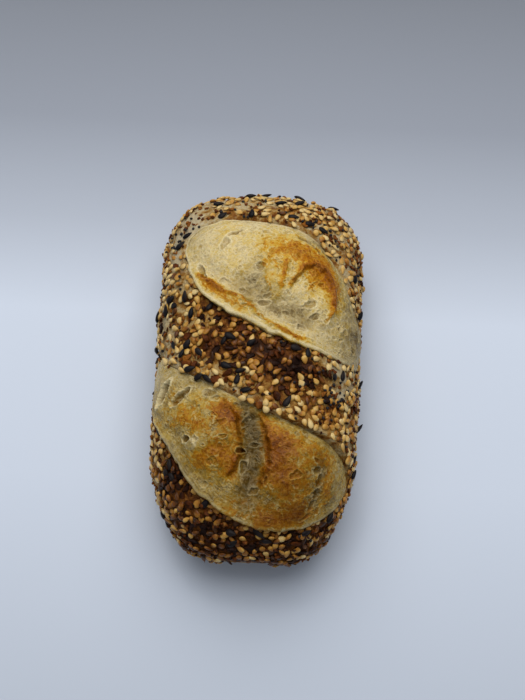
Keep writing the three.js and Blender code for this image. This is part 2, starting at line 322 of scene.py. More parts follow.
@dataclass(frozen=True)
class Fold:
    """A ridge or groove along a path, with the same effects as an oval patch.

    Drop is how far the dough falls, all at once, on the left of the path. It comes back up over reach.
    """

    path: tuple[Pair, ...]
    width: float
    lift: float = 0.0
    brown: float = 0.0
    dull_and_shade: float = 0.0
    shade_and_thin_dough: float = 0.0
    drop: float = 0.0
    reach: float = 4.0
    points_per_corner: int = 5
    taper: float = 0.12  # the share of its length, at each end, over which it fades
    end_strength: float = 0.25  # what is left of it at its ends
    drop_from: float = -0.3  # millimetres to the left of the path
    drop_to: float = 0.9

    def shape(self, places: Array) -> tuple[Array, Array]:
        """What the fold does.

        Args:
            places: (girth, along) pairs, one a row.

        Returns:
            How much of the fold each place gets, from 0 to 1, and the lift in millimetres.
        """
        route = smooth_loop(np.array(self.path), self.points_per_corner * len(self.path), closed=False)
        side, gap, travel = follow(places, route)
        present = step_between(0, self.taper, travel) * step_between(1, 1 - self.taper, travel)
        strength = self.end_strength + (1 - self.end_strength) * present
        share = np.exp(-((gap / self.width) ** 2)) * strength
        step = step_between(self.drop_from, self.drop_to, side)
        fall = step * np.exp(-((np.maximum(side, 0) / self.reach) ** 2)) * present
        return share, self.lift * share - self.drop * fall


@dataclass(frozen=True)
class Bubble:
    """A bubble on the dough.

    A burst one left a pit with a thin raised rim. Where depth is negative it is whole and stands up under
    a thin skin. Its inside is painted darker, as shade and as thin dough, and its rim paler, partly as a thin
    skin of dough and partly as a painted highlight. A reach is measured from its middle, in half-sizes.
    """

    at: Pair
    half: Pair
    turn: float = 0.0
    depth: float = 0.6
    last_reach: float = 1.7  # beyond, it changes nothing
    rim_reach: float = 1.08
    rim_width: float = 0.12  # in half-sizes
    rim_width_mm: float = 0.1  # added to it, in millimetres
    rim_height: float = 0.1  # of a burst bubble
    rim_gain: float = 0.14  # added to it for each millimetre of depth
    # Inside, a bubble is painted darker, as shade and as thin dough.
    full_dark_reach: float = 0.75  # inside, it is darkened fully
    least_darkening: float = 0.2
    darkening_gain: float = 0.45
    # A bubble's rim is painted pale, partly as a thin skin and partly as a painted highlight.
    least_film_and_highlight: float = 0.45
    film_and_highlight_gain: float = 0.35

    def press(self, places: Array, lift: Array, shade_and_thin_dough: Array, film_and_highlight: Array) -> None:
        """Adds the bubble to the lift in millimetres, to the painted shade and thin dough, and to the pale
        rims that are partly a thin skin and partly a painted highlight.

        Args:
            places: (girth, along) pairs, one a row.
            lift: the lift so far, changed in place.
            shade_and_thin_dough: each place's share of painted shade and thin dough, changed in place.
            film_and_highlight: each place's share of pale rim, as a thin skin and a painted highlight,
                changed in place.
        """
        beside = np.abs(places - np.array(self.at))
        near = np.flatnonzero((beside < self.last_reach * max(self.half)).all(axis=1))
        reach = np.hypot(*seen_from_oval(places[near], self.at, self.half, self.turn))
        bowl = np.sqrt(np.clip(1 - reach**2, 0, 1))
        width = self.rim_width + self.rim_width_mm / min(self.half)
        rim = np.exp(-(((reach - self.rim_reach) / width) ** 2))
        burst = max(self.depth, 0.0)
        height = self.rim_height * (self.depth > 0) + self.rim_gain * burst
        lift[near] += height * rim - self.depth * bowl
        darkest = min(1.0, self.least_darkening + self.darkening_gain * burst)
        shade_and_thin_dough[near] = np.maximum(shade_and_thin_dough[near], step_between(1.0, self.full_dark_reach, reach) * darkest)
        film_and_highlight[near] = np.maximum(film_and_highlight[near], (self.least_film_and_highlight + self.film_and_highlight_gain * burst) * rim)


@dataclass
class Opening:
    """One cut and the dough that rose through it.

    Outline holds (girth, along, edge) corners, clockwise from above. Edge is how far the dough stands over
    the skin beside it, or under it where it is negative. Rise is how far the dough domes up in the middle.
    """

    name: str
    outline: tuple[tuple[float, float, float], ...]
    rise: float
    base_brown: float
    ovals: tuple[Oval, ...]
    folds: tuple[Fold, ...]
    bubbles: tuple[Bubble, ...]
    loop_points: int = 240
    batch: int = 20000  # how many places are compared with the outline at once
    loop: Array = field(init=False)
    centre: Array = field(init=False)

    def __post_init__(self) -> None:
        """Works out the outline as fine points, and its middle."""
        self.loop = smooth_loop(np.array(self.outline), self.loop_points, closed=True)
        self.centre = self.loop[:, :2].mean(axis=0)

    def inside(self, places: Array) -> tuple[Array, Array]:
        """Where places lie beside the outline.

        Args:
            places: (girth, along) pairs, one a row.

        Returns:
            How far each place is inside, negative outside, and the edge height nearest to it.
        """
        start, end = self.loop[:, :2], np.roll(self.loop[:, :2], -1, axis=0)
        depth, edge = np.empty(len(places)), np.empty(len(places))
        onward = end[:, 1] - start[:, 1]
        onward = np.where(np.abs(onward) < TINY, TINY, onward)
        for first in range(0, len(places), self.batch):
            part = slice(first, first + self.batch)
            some = places[part]
            gap = np.hypot(some[:, :1] - start[:, 0], some[:, 1:] - start[:, 1])
            nearest = gap.argmin(axis=1)
            crosses = (start[:, 1] > some[:, 1:]) != (end[:, 1] > some[:, 1:])
            meets = start[:, 0] + (some[:, 1:] - start[:, 1]) / onward * (end[:, 0] - start[:, 0])
            odd = (crosses & (some[:, :1] < meets)).sum(axis=1) % 2
            distance = gap[np.arange(len(some)), nearest]
            depth[part] = np.where(odd == 1, distance, -distance)
            edge[part] = self.loop[nearest, 2]
        return depth, edge


FAR_OPENING = Opening(
    name="far_opening",
    outline=(
        (-27, 35, 1.1), (-29.5, 45, 0.3), (-22, 52.5, -0.2), (-8, 55.5, -0.6), (6, 54.5, -0.8),
        (18, 49, -0.8), (28, 37.5, -0.5), (38, 24, 0.1), (49, 15, 0.1), (54, 7, 0.1), (48, 0, 0.2),
        (31, -1.5, 0.5), (14, 1.5, 1.3), (-2, 8, 2.2), (-14, 15, 2.7), (-22, 24, 2.1),
    ),
    rise=2.4,
    base_brown=0.15,
    ovals=(
        Oval((13, 38), (13, 9), lift=2.2),
        Oval((-15, 41), (9, 8), lift=1.3, brown=-0.1),
        Oval((5, 17.5), (17, 4.2), -27, lift=-2.6),
        Oval((-2.5, 14.5), (20, 2.2), -34, lift=1.2),
        Oval((24.5, 21), (9, 2.2), 84, lift=1.1),
        Oval((16, 32.5), (8, 2), lift=0.8),
        Oval((8, 43), (12, 6), -12, brown=0.09),
        Oval((10, 34), (16, 11), brown=0.07),
        Oval((14, 35), (9, 6), -30, brown=0.45),
        Oval((-4, 48), (9, 4), -10, brown=0.08),
        Oval((4.5, 28), (3.6, 8), 4, lift=0.7, brown=0.2),
        Oval((16, 22), (3.6, 8), lift=-0.9, brown=0.14),
        Oval((17, 24), (1.3, 6), brown=0.22),
        Oval((25, 25), (5, 12), 14, brown=0.5),
        Oval((1, 39), (6, 5), 40, brown=0.12),
        Oval((-17.5, 25), (8, 2.6), -48, brown=0.3),
        Oval((-4, 15), (5, 2.4), -46, brown=0.16),
        Oval((14, 3.6), (9, 2.2), -20, brown=0.3),
        # sunken patches, dulled towards olive, partly as painted shade
        Oval((-2, 26), (6, 8), lift=-0.6, dull_and_shade=0.4, brown=-0.08),
        Oval((11, 14), (12, 5), -24, dull_and_shade=0.55, brown=-0.1),
        Oval((-10, 17), (14, 2), -44, dull_and_shade=0.15, brown=0.34),
        # the right flank, dulled and darkened: painted shade, with some olive colour
        Oval((40, 9), (11, 12), -40, dull_and_shade=0.65, brown=-0.06, shade_and_thin_dough=0.3),
        Oval((32, 24), (5, 14), 25, dull_and_shade=0.45),
        Oval((-24, 42), (6, 10), dull_and_shade=0.2),
        Oval((20, 46), (14, 3), -40, dull_and_shade=0.3),
    ),
    folds=(
        Fold(
            ((-24, 31), (-19.7, 27.4), (-12.5, 21.7), (-4.6, 17.6), (0.4, 11.1), (8.1, 6.5), (17.1, 2.7)),
            width=1.1, lift=0.9, brown=0.42, drop=1.8, reach=5,
        ),
        # the valley behind the lip, dulled and darkened: partly olive colour and partly painted shade
        Fold(((-12, 25), (-6.9, 23), (0.9, 17.1), (10.5, 13), (19.4, 8.6)), width=2.6, dull_and_shade=0.2, shade_and_thin_dough=0.2),
        Fold(
            ((20.4, 9.6), (24, 14), (25, 22), (22.5, 30), (18, 33.4), (13, 30), (10.5, 25.5), (8.6, 20.5)),
            width=0.9, lift=0.6, brown=0.34, drop=1.0, reach=3,
        ),
        Fold(((0.3, 35), (1.2, 29), (3, 23), (5, 17)), width=0.8, lift=0.4, brown=0.26),
        Fold(((8.6, 35), (8, 29), (7, 24), (5.4, 17.5)), width=0.8, lift=0.4, brown=0.26),
        # two grooves near the far end, dulled and darkened with painted shade
        Fold(((17, 46), (22.5, 41), (26.5, 34)), width=0.8, lift=-0.5, dull_and_shade=0.3, shade_and_thin_dough=0.3),
        Fold(((11.9, 45.3), (15.5, 43.8), (18.4, 41.6), (20, 39)), width=0.6, lift=-0.9, dull_and_shade=0.2, shade_and_thin_dough=0.9),
        Fold(
            ((-27.5, 42), (-25, 48), (-19, 51), (-9, 53.4), (0, 53.6)),
            width=0.8, lift=0.4, dull_and_shade=0.16, brown=-0.06,
        ),
        Fold(((-25, 40), (-22, 46), (-16, 49.3), (-8, 51.4)), width=0.7, lift=0.3, brown=-0.08),
        Fold(((-17, 22.5), (-10, 29), (-3, 36), (2, 43)), width=0.9, lift=0.3, brown=-0.08),
        Fold(((-22, 28), (-17, 36), (-13, 46), (-6, 50)), width=0.8, lift=0.3, brown=0.08),
        # a groove, with painted shade in it
        Fold(((-10, 22), (-5, 30), (0, 38), (1, 46)), width=0.7, lift=-0.35, brown=0.12, shade_and_thin_dough=0.15),
        Fold(((-6, 36), (0, 42), (9, 46), (17, 44)), width=0.7, lift=0.35, brown=0.08),
        Fold(((0, 31), (6, 38), (13, 41), (20, 37)), width=0.7, lift=-0.35, brown=0.12),
        Fold(((29, 34), (33, 24), (38, 15), (44, 8)), width=0.8, lift=0.25, dull_and_shade=-0.2, brown=0.05),
    ),
    bubbles=(
        Bubble((-12.8, 41), (3.0, 1.5), 66, 0.8),
        Bubble((-20.4, 30), (3.4, 1.2), -68, 1.1),
        Bubble((1.2, 17.1), (2.2, 1.6), 0, 0.8),
        Bubble((1.9, 21.4), (2.4, 1.9), 60, -0.5),
        Bubble((-0.4, 31), (1.8, 1.4), 20, 0.7),
        Bubble((-2.4, 26.5), (2.3, 1.7), 60, -0.5),
        Bubble((-9.4, 46.6), (3.4, 1.0), 30, 1.2),
        Bubble((-7.5, 49.6), (1.2, 0.7), 10, 0.4),
        Bubble((-13.1, 26.1), (1.3, 1.0), 0, 0.5),
        Bubble((-1.3, 34.3), (1.4, 0.9), 0, 0.5),
        Bubble((-19, 47.7), (1.2, 0.8), 40, 0.4),
        Bubble((6.3, 32.3), (0.9, 0.7), 0, 0.5),
        Bubble((17, 17.6), (2.3, 1.6), 40, 0.8),
        Bubble((18.9, 13.2), (1.9, 1.3), 30, 0.7),
        Bubble((21.5, 9.5), (1.8, 1.1), 20, -0.4),
        Bubble((9.9, 26.2), (1.6, 1.1), 60, 0.4),
        Bubble((10.5, 11.5), (2.8, 1.5), -20, -0.5),
        Bubble((14.4, 8.2), (2.0, 1.2), -30, 0.5),
        Bubble((37.6, 4.4), (1.4, 0.9), 0, 0.5),
        Bubble((20.5, 26), (1.2, 0.9), 0, 0.4),
    ),
)
NEAR_OPENING = Opening(
    name="near_opening",
    outline=(
        (-57, -4, 0.2), (-46, 0.5, 0.1), (-36, -3.8, -0.3), (-19, -12, -0.8), (-1, -21, -1.6),
        (16, -27, -2.6), (32, -33.5, -2.4), (43, -40.5, -0.8), (45, -48, 0.2), (37, -56, 0.9),
        (22, -62.5, 1.6), (5, -63.5, 2.2), (-10, -59, 2.7), (-22, -49.5, 2.8), (-32, -34.5, 2.3),
        (-43, -22, 1.2), (-54, -14, 0.4),
    ),
    rise=2.0,
    base_brown=0.41,
    ovals=(
        # dulls the whole opening, partly as its own olive colour and partly as painted shade over the near
        # end
        Oval((-3, -42), (60, 44), dull_and_shade=0.5),
        # these four are painted shade over the near end: on the lower rim, the right lobe, the left lobe and
        # the tip
        Oval((6, -59), (30, 8), -5, shade_and_thin_dough=0.6),
        Oval((17, -45), (18, 15), shade_and_thin_dough=0.62),
        Oval((-14, -34), (12, 12), shade_and_thin_dough=0.46),
        Oval((-34, -16), (12, 9), -30, shade_and_thin_dough=0.4),
        Oval((-16, -34), (11, 14), -15, lift=2.8),
        Oval((18, -45), (12, 14), 10, lift=2.8),
        # the trough between the lobes, with painted shade in it
        Oval((0, -38), (15, 4.6), 90, lift=-3.9, shade_and_thin_dough=0.3),
        Oval((2, -54), (9, 3), lift=-0.9),
        Oval((-9, -26), (4.5, 4), -60, brown=0.46, dull_and_shade=-0.4),
        Oval((-19, -28), (6, 3), -20, brown=0.16, dull_and_shade=-0.25),
        Oval((-14.5, -39.5), (5.5, 2.4), 24, brown=0.26, dull_and_shade=-0.3),
        Oval((-8.5, -42), (3, 5), 20, brown=0.26, dull_and_shade=-0.3),
        Oval((8.5, -38), (4.5, 8), 12, brown=0.6, dull_and_shade=-0.45),
        Oval((17, -35.5), (7, 3), -24, brown=0.18, dull_and_shade=-0.25),
        Oval((14, -47), (8, 5), -10, brown=0.17, dull_and_shade=-0.15),
        Oval((20, -56), (5, 3), 20, brown=0.24, dull_and_shade=-0.2),
        Oval((28.5, -46), (2.4, 8), 8, brown=0.24, dull_and_shade=-0.25),
        Oval((-22, -41), (2, 5), 60, brown=0.1),
        Oval((-44, -8), (13, 8), -25, dull_and_shade=-0.15, brown=-0.26),
        Oval((-27, -38), (4, 11), 35, dull_and_shade=0.25, brown=-0.12),
        Oval((-18.6, -35.6), (3.2, 2), 0, dull_and_shade=-0.35, brown=-0.36),
        Oval((-22, -13.5), (17, 2.6), -28, dull_and_shade=0.25, brown=-0.16),
        Oval((27, -33), (12, 2.8), -25, dull_and_shade=0.3, brown=-0.2),
        Oval((33, -53), (6, 8), 30, dull_and_shade=0.3, brown=-0.1),
        Oval((-18, -49), (3, 9), 62, dull_and_shade=0.2, brown=-0.05),
        Oval((8, -60), (20, 3.4), brown=0.26, dull_and_shade=-0.1),
    ),
    folds=(
        Fold(
            (
                (-11.5, -20), (-9.4, -22.4), (-5.8, -27.8), (-4.5, -34.9), (-4.6, -39.9), (-6.6, -45.1),
                (-9.1, -48.5),
            ),
            width=1.7, lift=0.6, brown=0.34, dull_and_shade=-0.3, drop=2.2, reach=4,
        ),
        Fold(
            ((3, -52.1), (4.2, -47.4), (6.6, -42.9), (6.8, -39.4), (5.8, -34.3), (3.7, -29.1), (0.5, -23)),
            width=1.7, lift=0.6, brown=0.34, dull_and_shade=-0.3, drop=2.0, reach=4,
        ),
        # the valley between the lobes, dulled and darkened with painted shade
        Fold(
            ((-3.7, -21.5), (-0.3, -31.2), (0.7, -36.3), (-0.1, -46.6), (-1.7, -55)),
            width=3.2, dull_and_shade=0.6, brown=-0.1, shade_and_thin_dough=1.1,
        ),
        Fold(((-30, -14), (-21, -20), (-14, -27)), width=1.0, lift=0.4, brown=-0.1),
        Fold(((36, -41), (33, -50), (25, -57), (12, -60.5)), width=1.1, lift=0.4, brown=0.08),
        Fold(((-29, -36), (-20, -48), (-8, -56), (6, -60)), width=1.0, lift=0.3, brown=-0.06),
        # a groove in the right lobe, dulled and darkened with painted shade
        Fold(((23, -37), (24.5, -45), (24, -52), (20, -58)), width=1.7, lift=-0.5, dull_and_shade=0.3, shade_and_thin_dough=0.4),
    ),
    bubbles=(
        Bubble((-33.6, -16.6), (5.8, 2.1), 57, 3.0),
        Bubble((-25.2, -19.2), (4.6, 1.8), 42, 1.9),
        Bubble((-4, -38.3), (1.7, 1.2), 20, 3),
        Bubble((2.0, -30.6), (3.3, 2.4), 75, -0.9),
        Bubble((0.4, -24.6), (3.0, 2.1), 60, -0.6),
        Bubble((-2.6, -28.3), (1.8, 1.2), 60, 0.9),
        Bubble((2.4, -41.8), (3.6, 2.2), 85, -0.8),
        Bubble((-2.6, -43.8), (2.4, 1.5), 70, 1.3),
        Bubble((-1.8, -48.6), (2.2, 1.6), 90, -0.6),
        Bubble((1.2, -51.6), (1.9, 1.3), 20, 0.8),
        Bubble((1.0, -35.8), (1.7, 1.1), 10, 0.9),
        Bubble((-21.7, -34.5), (1.5, 1.2), 0, 1.8),
        Bubble((-15, -18), (2.1, 1.4), 30, 0.8),
        Bubble((-12.8, -20.5), (1.6, 1.2), 0, 0.8),
        Bubble((-20.7, -12.3), (1.4, 0.9), 20, 0.6),
        Bubble((-10.6, -29.6), (2.3, 1.5), 30, 0.6),
        Bubble((-6.3, -22.4), (1.5, 1.1), 10, 0.7),
        Bubble((5.3, -48.4), (0.8, 1.6), 0, 1.1),
        Bubble((15, -45.3), (1.9, 1.2), 20, 0.9),
        Bubble((21.7, -39.6), (1.3, 1.0), 0, 0.8),
        Bubble((22.8, -42.9), (1.6, 1.3), 40, 1),
        Bubble((24.2, -46.3), (2.3, 1.5), 80, 1.1),
        Bubble((24.2, -50.6), (2.0, 1.5), 80, 1),
        Bubble((23.5, -54.3), (2.1, 1.2), 60, 0.8),
        Bubble((22.5, -58.2), (2.2, 0.9), 35, 0.6),
        Bubble((-13, -26.1), (1.1, 0.9), 0, 0.5),
        Bubble((-9.6, -33.9), (1.2, 0.9), 0, 0.6),
        Bubble((-13.7, -42.5), (1.4, 1.0), 0, 0.6),
    ),
)


# ---------------------------------------------------------------- finishes


class Painter:
    """Builds one procedural material, node by node."""

    light_depth_mm = 1.2  # how far light passes under the surface
    light_reach = (1.0, 0.5, 0.22)  # the share of that for red, green and blue

    def __init__(self, name: str) -> None:
        """Starts a material with one main shader and nothing else.

        Args:
            name: the material's name.
        """
        self.material = bpy.data.materials.new(name)
        self.material.use_nodes = True
        self.nodes = self.material.node_tree.nodes
        self.links = self.material.node_tree.links
        self.nodes.clear()
        self.shader = self.nodes.new("ShaderNodeBsdfPrincipled")
        output = self.nodes.new("ShaderNodeOutputMaterial")
        self.links.new(self.shader.outputs[0], output.inputs["Surface"])
        self.place = self.nodes.new("ShaderNodeTexCoord").outputs["Object"]

    def feed(self, source: Value, target: Socket) -> None:
        """Feeds a socket.

        Args:
            source: another socket, a number or a colour.
            target: the socket that is fed.
        """
        if isinstance(source, Socket):
            self.links.new(source, target)
        elif isinstance(source, tuple):
            target.default_value = (*source, 1.0)
        else:
            target.default_value = source

    def attribute(self, name: str, part: str = "Fac") -> Socket:
        """Reads a mesh attribute.

        Args:
            name: the attribute's name.
            part: "Fac" for its number, "Vector" for its vector.

        Returns:
            The value at each point.
        """
        node = self.nodes.new("ShaderNodeAttribute")
        node.attribute_name = name
        return node.outputs[part]

    def noise(self, size_mm: float, detail: float = 3.0, rough: float = 0.55, swirl: float = 0.0) -> Socket:
        """Noise about 0.5.

        Args:
            size_mm: the width of its lumps, in millimetres.
            detail: how many finer layers it has.
            rough: how much each finer layer counts.
            swirl: how much it is pushed about by itself.

        Returns:
            The noise.
        """
        node = self.nodes.new("ShaderNodeTexNoise")
        self.links.new(self.place, node.inputs["Vector"])
        node.inputs["Scale"].default_value = 1 / (size_mm * MM)
        node.inputs["Detail"].default_value = detail
        node.inputs["Roughness"].default_value = rough
        node.inputs["Distortion"].default_value = swirl
        return node.outputs[0]

    def strands(self, name: str) -> Socket:
        """Noise about 0.5 that is drawn out along strands.

        Args:
            name: the vector attribute that is even along a strand and changes across it.

        Returns:
            The noise.
        """
        node = self.nodes.new("ShaderNodeTexNoise")
        self.links.new(self.attribute(name, "Vector"), node.inputs["Vector"])
        node.inputs["Scale"].default_value = 1.0
        node.inputs["Detail"].default_value = 3.0
        return node.outputs[0]

    def warped(self, size_mm: float, by_mm: float) -> Socket:
        """The place on the object, pushed about by noise.

        Args:
            size_mm: the width of the noise's lumps, in millimetres.
            by_mm: how far it pushes, in millimetres.

        Returns:
            The pushed place.
        """
        node = self.nodes.new("ShaderNodeTexNoise")
        self.links.new(self.place, node.inputs["Vector"])
        node.inputs["Scale"].default_value = 1 / (size_mm * MM)
        push = self.nodes.new("ShaderNodeVectorMath")
        push.operation = "MULTIPLY_ADD"
        self.links.new(node.outputs["Color"], push.inputs[0])
        push.inputs[1].default_value = (2 * by_mm * MM,) * 3
        self.links.new(self.place, push.inputs[2])
        return push.outputs[0]

    def scattered(self, size_mm: float, place: Socket) -> bpy.types.Node:
        """Many scattered points with a cell round each.

        Args:
            size_mm: the width of a cell, in millimetres.
            place: the place on the object.

        Returns:
            The node that measures from them.
        """
        node = self.nodes.new("ShaderNodeTexVoronoi")
        self.links.new(place, node.inputs["Vector"])
        node.inputs["Scale"].default_value = 1 / (size_mm * MM)
        return node

    def cells(self, size_mm: float) -> Socket:
        """The distance to the nearest of many points, in cell sizes."""
        return self.scattered(size_mm, self.place).outputs["Distance"]

    def walls(self, size_mm: float, place: Socket) -> Socket:
        """The distance to the nearest wall between cells.

        Args:
            size_mm: the width of a cell, in millimetres.
            place: the place on the object.

        Returns:
            The distance, in cell sizes.
        """
        node = self.scattered(size_mm, place)
        node.feature = "DISTANCE_TO_EDGE"
        return node.outputs["Distance"]

    def rings(self, size_mm: float, share: float, place: Socket) -> Socket:
        """Thin rings about some of many scattered points.

        Args:
            size_mm: the width of a cell, in millimetres.
            share: the share of the points that has a ring.
            place: the place on the object.

        Returns:
            1 on a ring and 0 off it, with soft edges.
        """
        node = self.scattered(size_mm, place)
        split = self.nodes.new("ShaderNodeSeparateColor")
        self.links.new(node.outputs["Color"], split.inputs[0])
        distance = node.outputs["Distance"]
        ring = self.times(self.spread(distance, 0.20, 0.27), self.spread(distance, 0.38, 0.31))
        return self.times(ring, self.spread(split.outputs[0], 1 - share, 1.05 - share))

    def sum(self, operation: str, first: Value, second: Value, clamp: bool = False) -> Socket:
        """One arithmetic step on two values.

        Args:
            operation: the step, in Blender's words.
            first: the first value.
            second: the second value.
            clamp: whether the result is kept from 0 to 1.

        Returns:
            The result.
        """
        node = self.nodes.new("ShaderNodeMath")
        node.operation = operation
        node.use_clamp = clamp
        self.feed(first, node.inputs[0])
        self.feed(second, node.inputs[1])
        return node.outputs[0]

    def times(self, first: Value, second: Value, clamp: bool = False) -> Socket:
        """Two values multiplied."""
        return self.sum("MULTIPLY", first, second, clamp)

    def plus(self, first: Value, second: Value, clamp: bool = False) -> Socket:
        """Two values added."""
        return self.sum("ADD", first, second, clamp)

    def minus(self, first: Value, second: Value, clamp: bool = False) -> Socket:
        """The second value taken from the first."""
        return self.sum("SUBTRACT", first, second, clamp)

    def larger(self, first: Value, second: Value) -> Socket:
        """The larger of two values."""
        return self.sum("MAXIMUM", first, second)

    def sway(self, value: Value, amount: Value) -> Socket:
        """A value about 0.5, as a swing about 0 of an amount."""
        return self.times(self.minus(value, 0.5), amount)

    def spread(
        self, value: Value, low: float, high: float, to_low: float = 0.0, to_high: float = 1.0
    ) -> Socket:
        """A value stretched from one range to another, smoothly and clamped.

        Args:
            value: the value.
            low: what becomes to_low.
            high: what becomes to_high.
            to_low: the result at low.
            to_high: the result at high.

        Returns:
            The stretched value.
        """
        node = self.nodes.new("ShaderNodeMapRange")
        node.interpolation_type = "SMOOTHSTEP"
        self.feed(value, node.inputs["Value"])
        limits = {"From Min": low, "From Max": high, "To Min": to_low, "To Max": to_high}
        for name, number in limits.items():
            node.inputs[name].default_value = number
        return node.outputs[0]

    def ramp(self, value: Value, stops: Stops) -> Socket:
        """A colour looked up along a row of stops.

        Args:
            value: where to look, from 0 to 1.
            stops: each stop's place and colour.

        Returns:
            The colour.
        """
        node = self.nodes.new("ShaderNodeValToRGB")
        elements = node.color_ramp.elements
        while len(elements) < len(stops):
            elements.new(0.5)
        for element, (position, colour) in zip(elements, stops):
            element.position = position
            element.color = (*colour, 1.0)
        self.feed(value, node.inputs["Fac"])
        return node.outputs["Color"]

    def mix(self, share: Value, first: Value, second: Value, way: str = "MIX") -> Socket:
        """Two colours mixed.

        Args:
            share: how much of the second colour there is.
            first: the colour at 0.
            second: the colour that is laid over it.
            way: how it is laid over, in Blender's words.

        Returns:
            The mixed colour.
        """
        node = self.nodes.new("ShaderNodeMix")
        node.data_type = "RGBA"
        node.blend_type = way
        self.feed(share, node.inputs[0])
        self.feed(first, node.inputs[6])
        self.feed(second, node.inputs[7])
        return node.outputs[2]

    def bump(self, height: Value, depth_mm: float, under: Optional[Socket] = None) -> Socket:
        """A bumped normal.

        Args:
            height: the height, from 0 to 1.
            depth_mm: the millimetres that it stands for.
            under: the bumped normal that it is added to.

        Returns:
            The normal.
        """
        node = self.nodes.new("ShaderNodeBump")
        node.inputs["Strength"].default_value = 1.0
        node.inputs["Distance"].default_value = depth_mm * MM
        self.feed(height, node.inputs["Height"])
        if under is not None:
            self.links.new(under, node.inputs["Normal"])
        return node.outputs["Normal"]

    def finish(
        self, colour: Value, roughness: Value, normal: Socket, gloss: float, translucence: float = 0.0
    ) -> bpy.types.Material:
        """Sets the main shader.

        Args:
            colour: the base colour, as a socket or a colour.
            roughness: the roughness, as a socket or a number.
            normal: the bumped normal.
            gloss: the specular level.
            translucence: the share of light that passes under the surface.

        Returns:
            The finished material.
        """
        self.feed(colour, self.shader.inputs["Base Color"])
        self.feed(roughness, self.shader.inputs["Roughness"])
        self.links.new(normal, self.shader.inputs["Normal"])
        self.shader.inputs["Specular IOR Level"].default_value = gloss
        if translucence:
            self.shader.inputs["Subsurface Weight"].default_value = translucence
            self.shader.inputs["Subsurface Radius"].default_value = self.light_reach
            self.shader.inputs["Subsurface Scale"].default_value = self.light_depth_mm * MM
        return self.material


@dataclass(frozen=True)
class SkinFinish:
    """Dry baked skin: pale and floury between seeds, amber to dark brown by baking and by painted shade."""

    stops: Stops = (
        (0.0, (0.47, 0.38, 0.23)),
        (0.18, (0.40, 0.28, 0.12)),
        (0.36, (0.29, 0.145, 0.028)),
        (0.55, (0.17, 0.058, 0.007)),
        (0.75, (0.070, 0.020, 0.003)),
        (1.0, (0.020, 0.007, 0.003)),
    )
    flour: Colour = (0.48, 0.41, 0.29)
    drift_mm: float = 6.0
    speck_mm: float = 1.2
    dust_mm: float = 2.2
    lump_mm: float = 1.6
    pit_mm: float = 0.7

    def material(self) -> bpy.types.Material:
        """Makes the material.

        Returns:
            The finished material.
        """
        paint = Painter("baked_skin")
        # this attribute holds both the baking and the painted shade
        toast_and_shade = paint.attribute("toast_and_shade")
        drift = paint.noise(self.drift_mm, detail=5.0, rough=0.6, swirl=0.6)
        drift = paint.spread(drift, 0.40, 0.66, -0.1, 0.34)
        speck = paint.sway(paint.noise(self.speck_mm, detail=4.0, rough=0.65), 0.7)
        baked = paint.plus(toast_and_shade, paint.plus(drift, speck), clamp=True)
        dust = paint.spread(paint.noise(self.dust_mm, detail=5.0, rough=0.7), 0.50, 0.66, 0.0, 0.55)
        dust = paint.times(dust, paint.spread(toast_and_shade, 0.32, 0.05))
        colour = paint.mix(dust, paint.ramp(baked, self.stops), self.flour)
        normal = paint.bump(paint.noise(self.lump_mm, detail=5.0, rough=0.65), depth_mm=0.8)
        normal = paint.bump(paint.cells(self.pit_mm), depth_mm=0.15, under=normal)
        return paint.finish(colour, 0.5, normal, gloss=0.09, translucence=0.05)


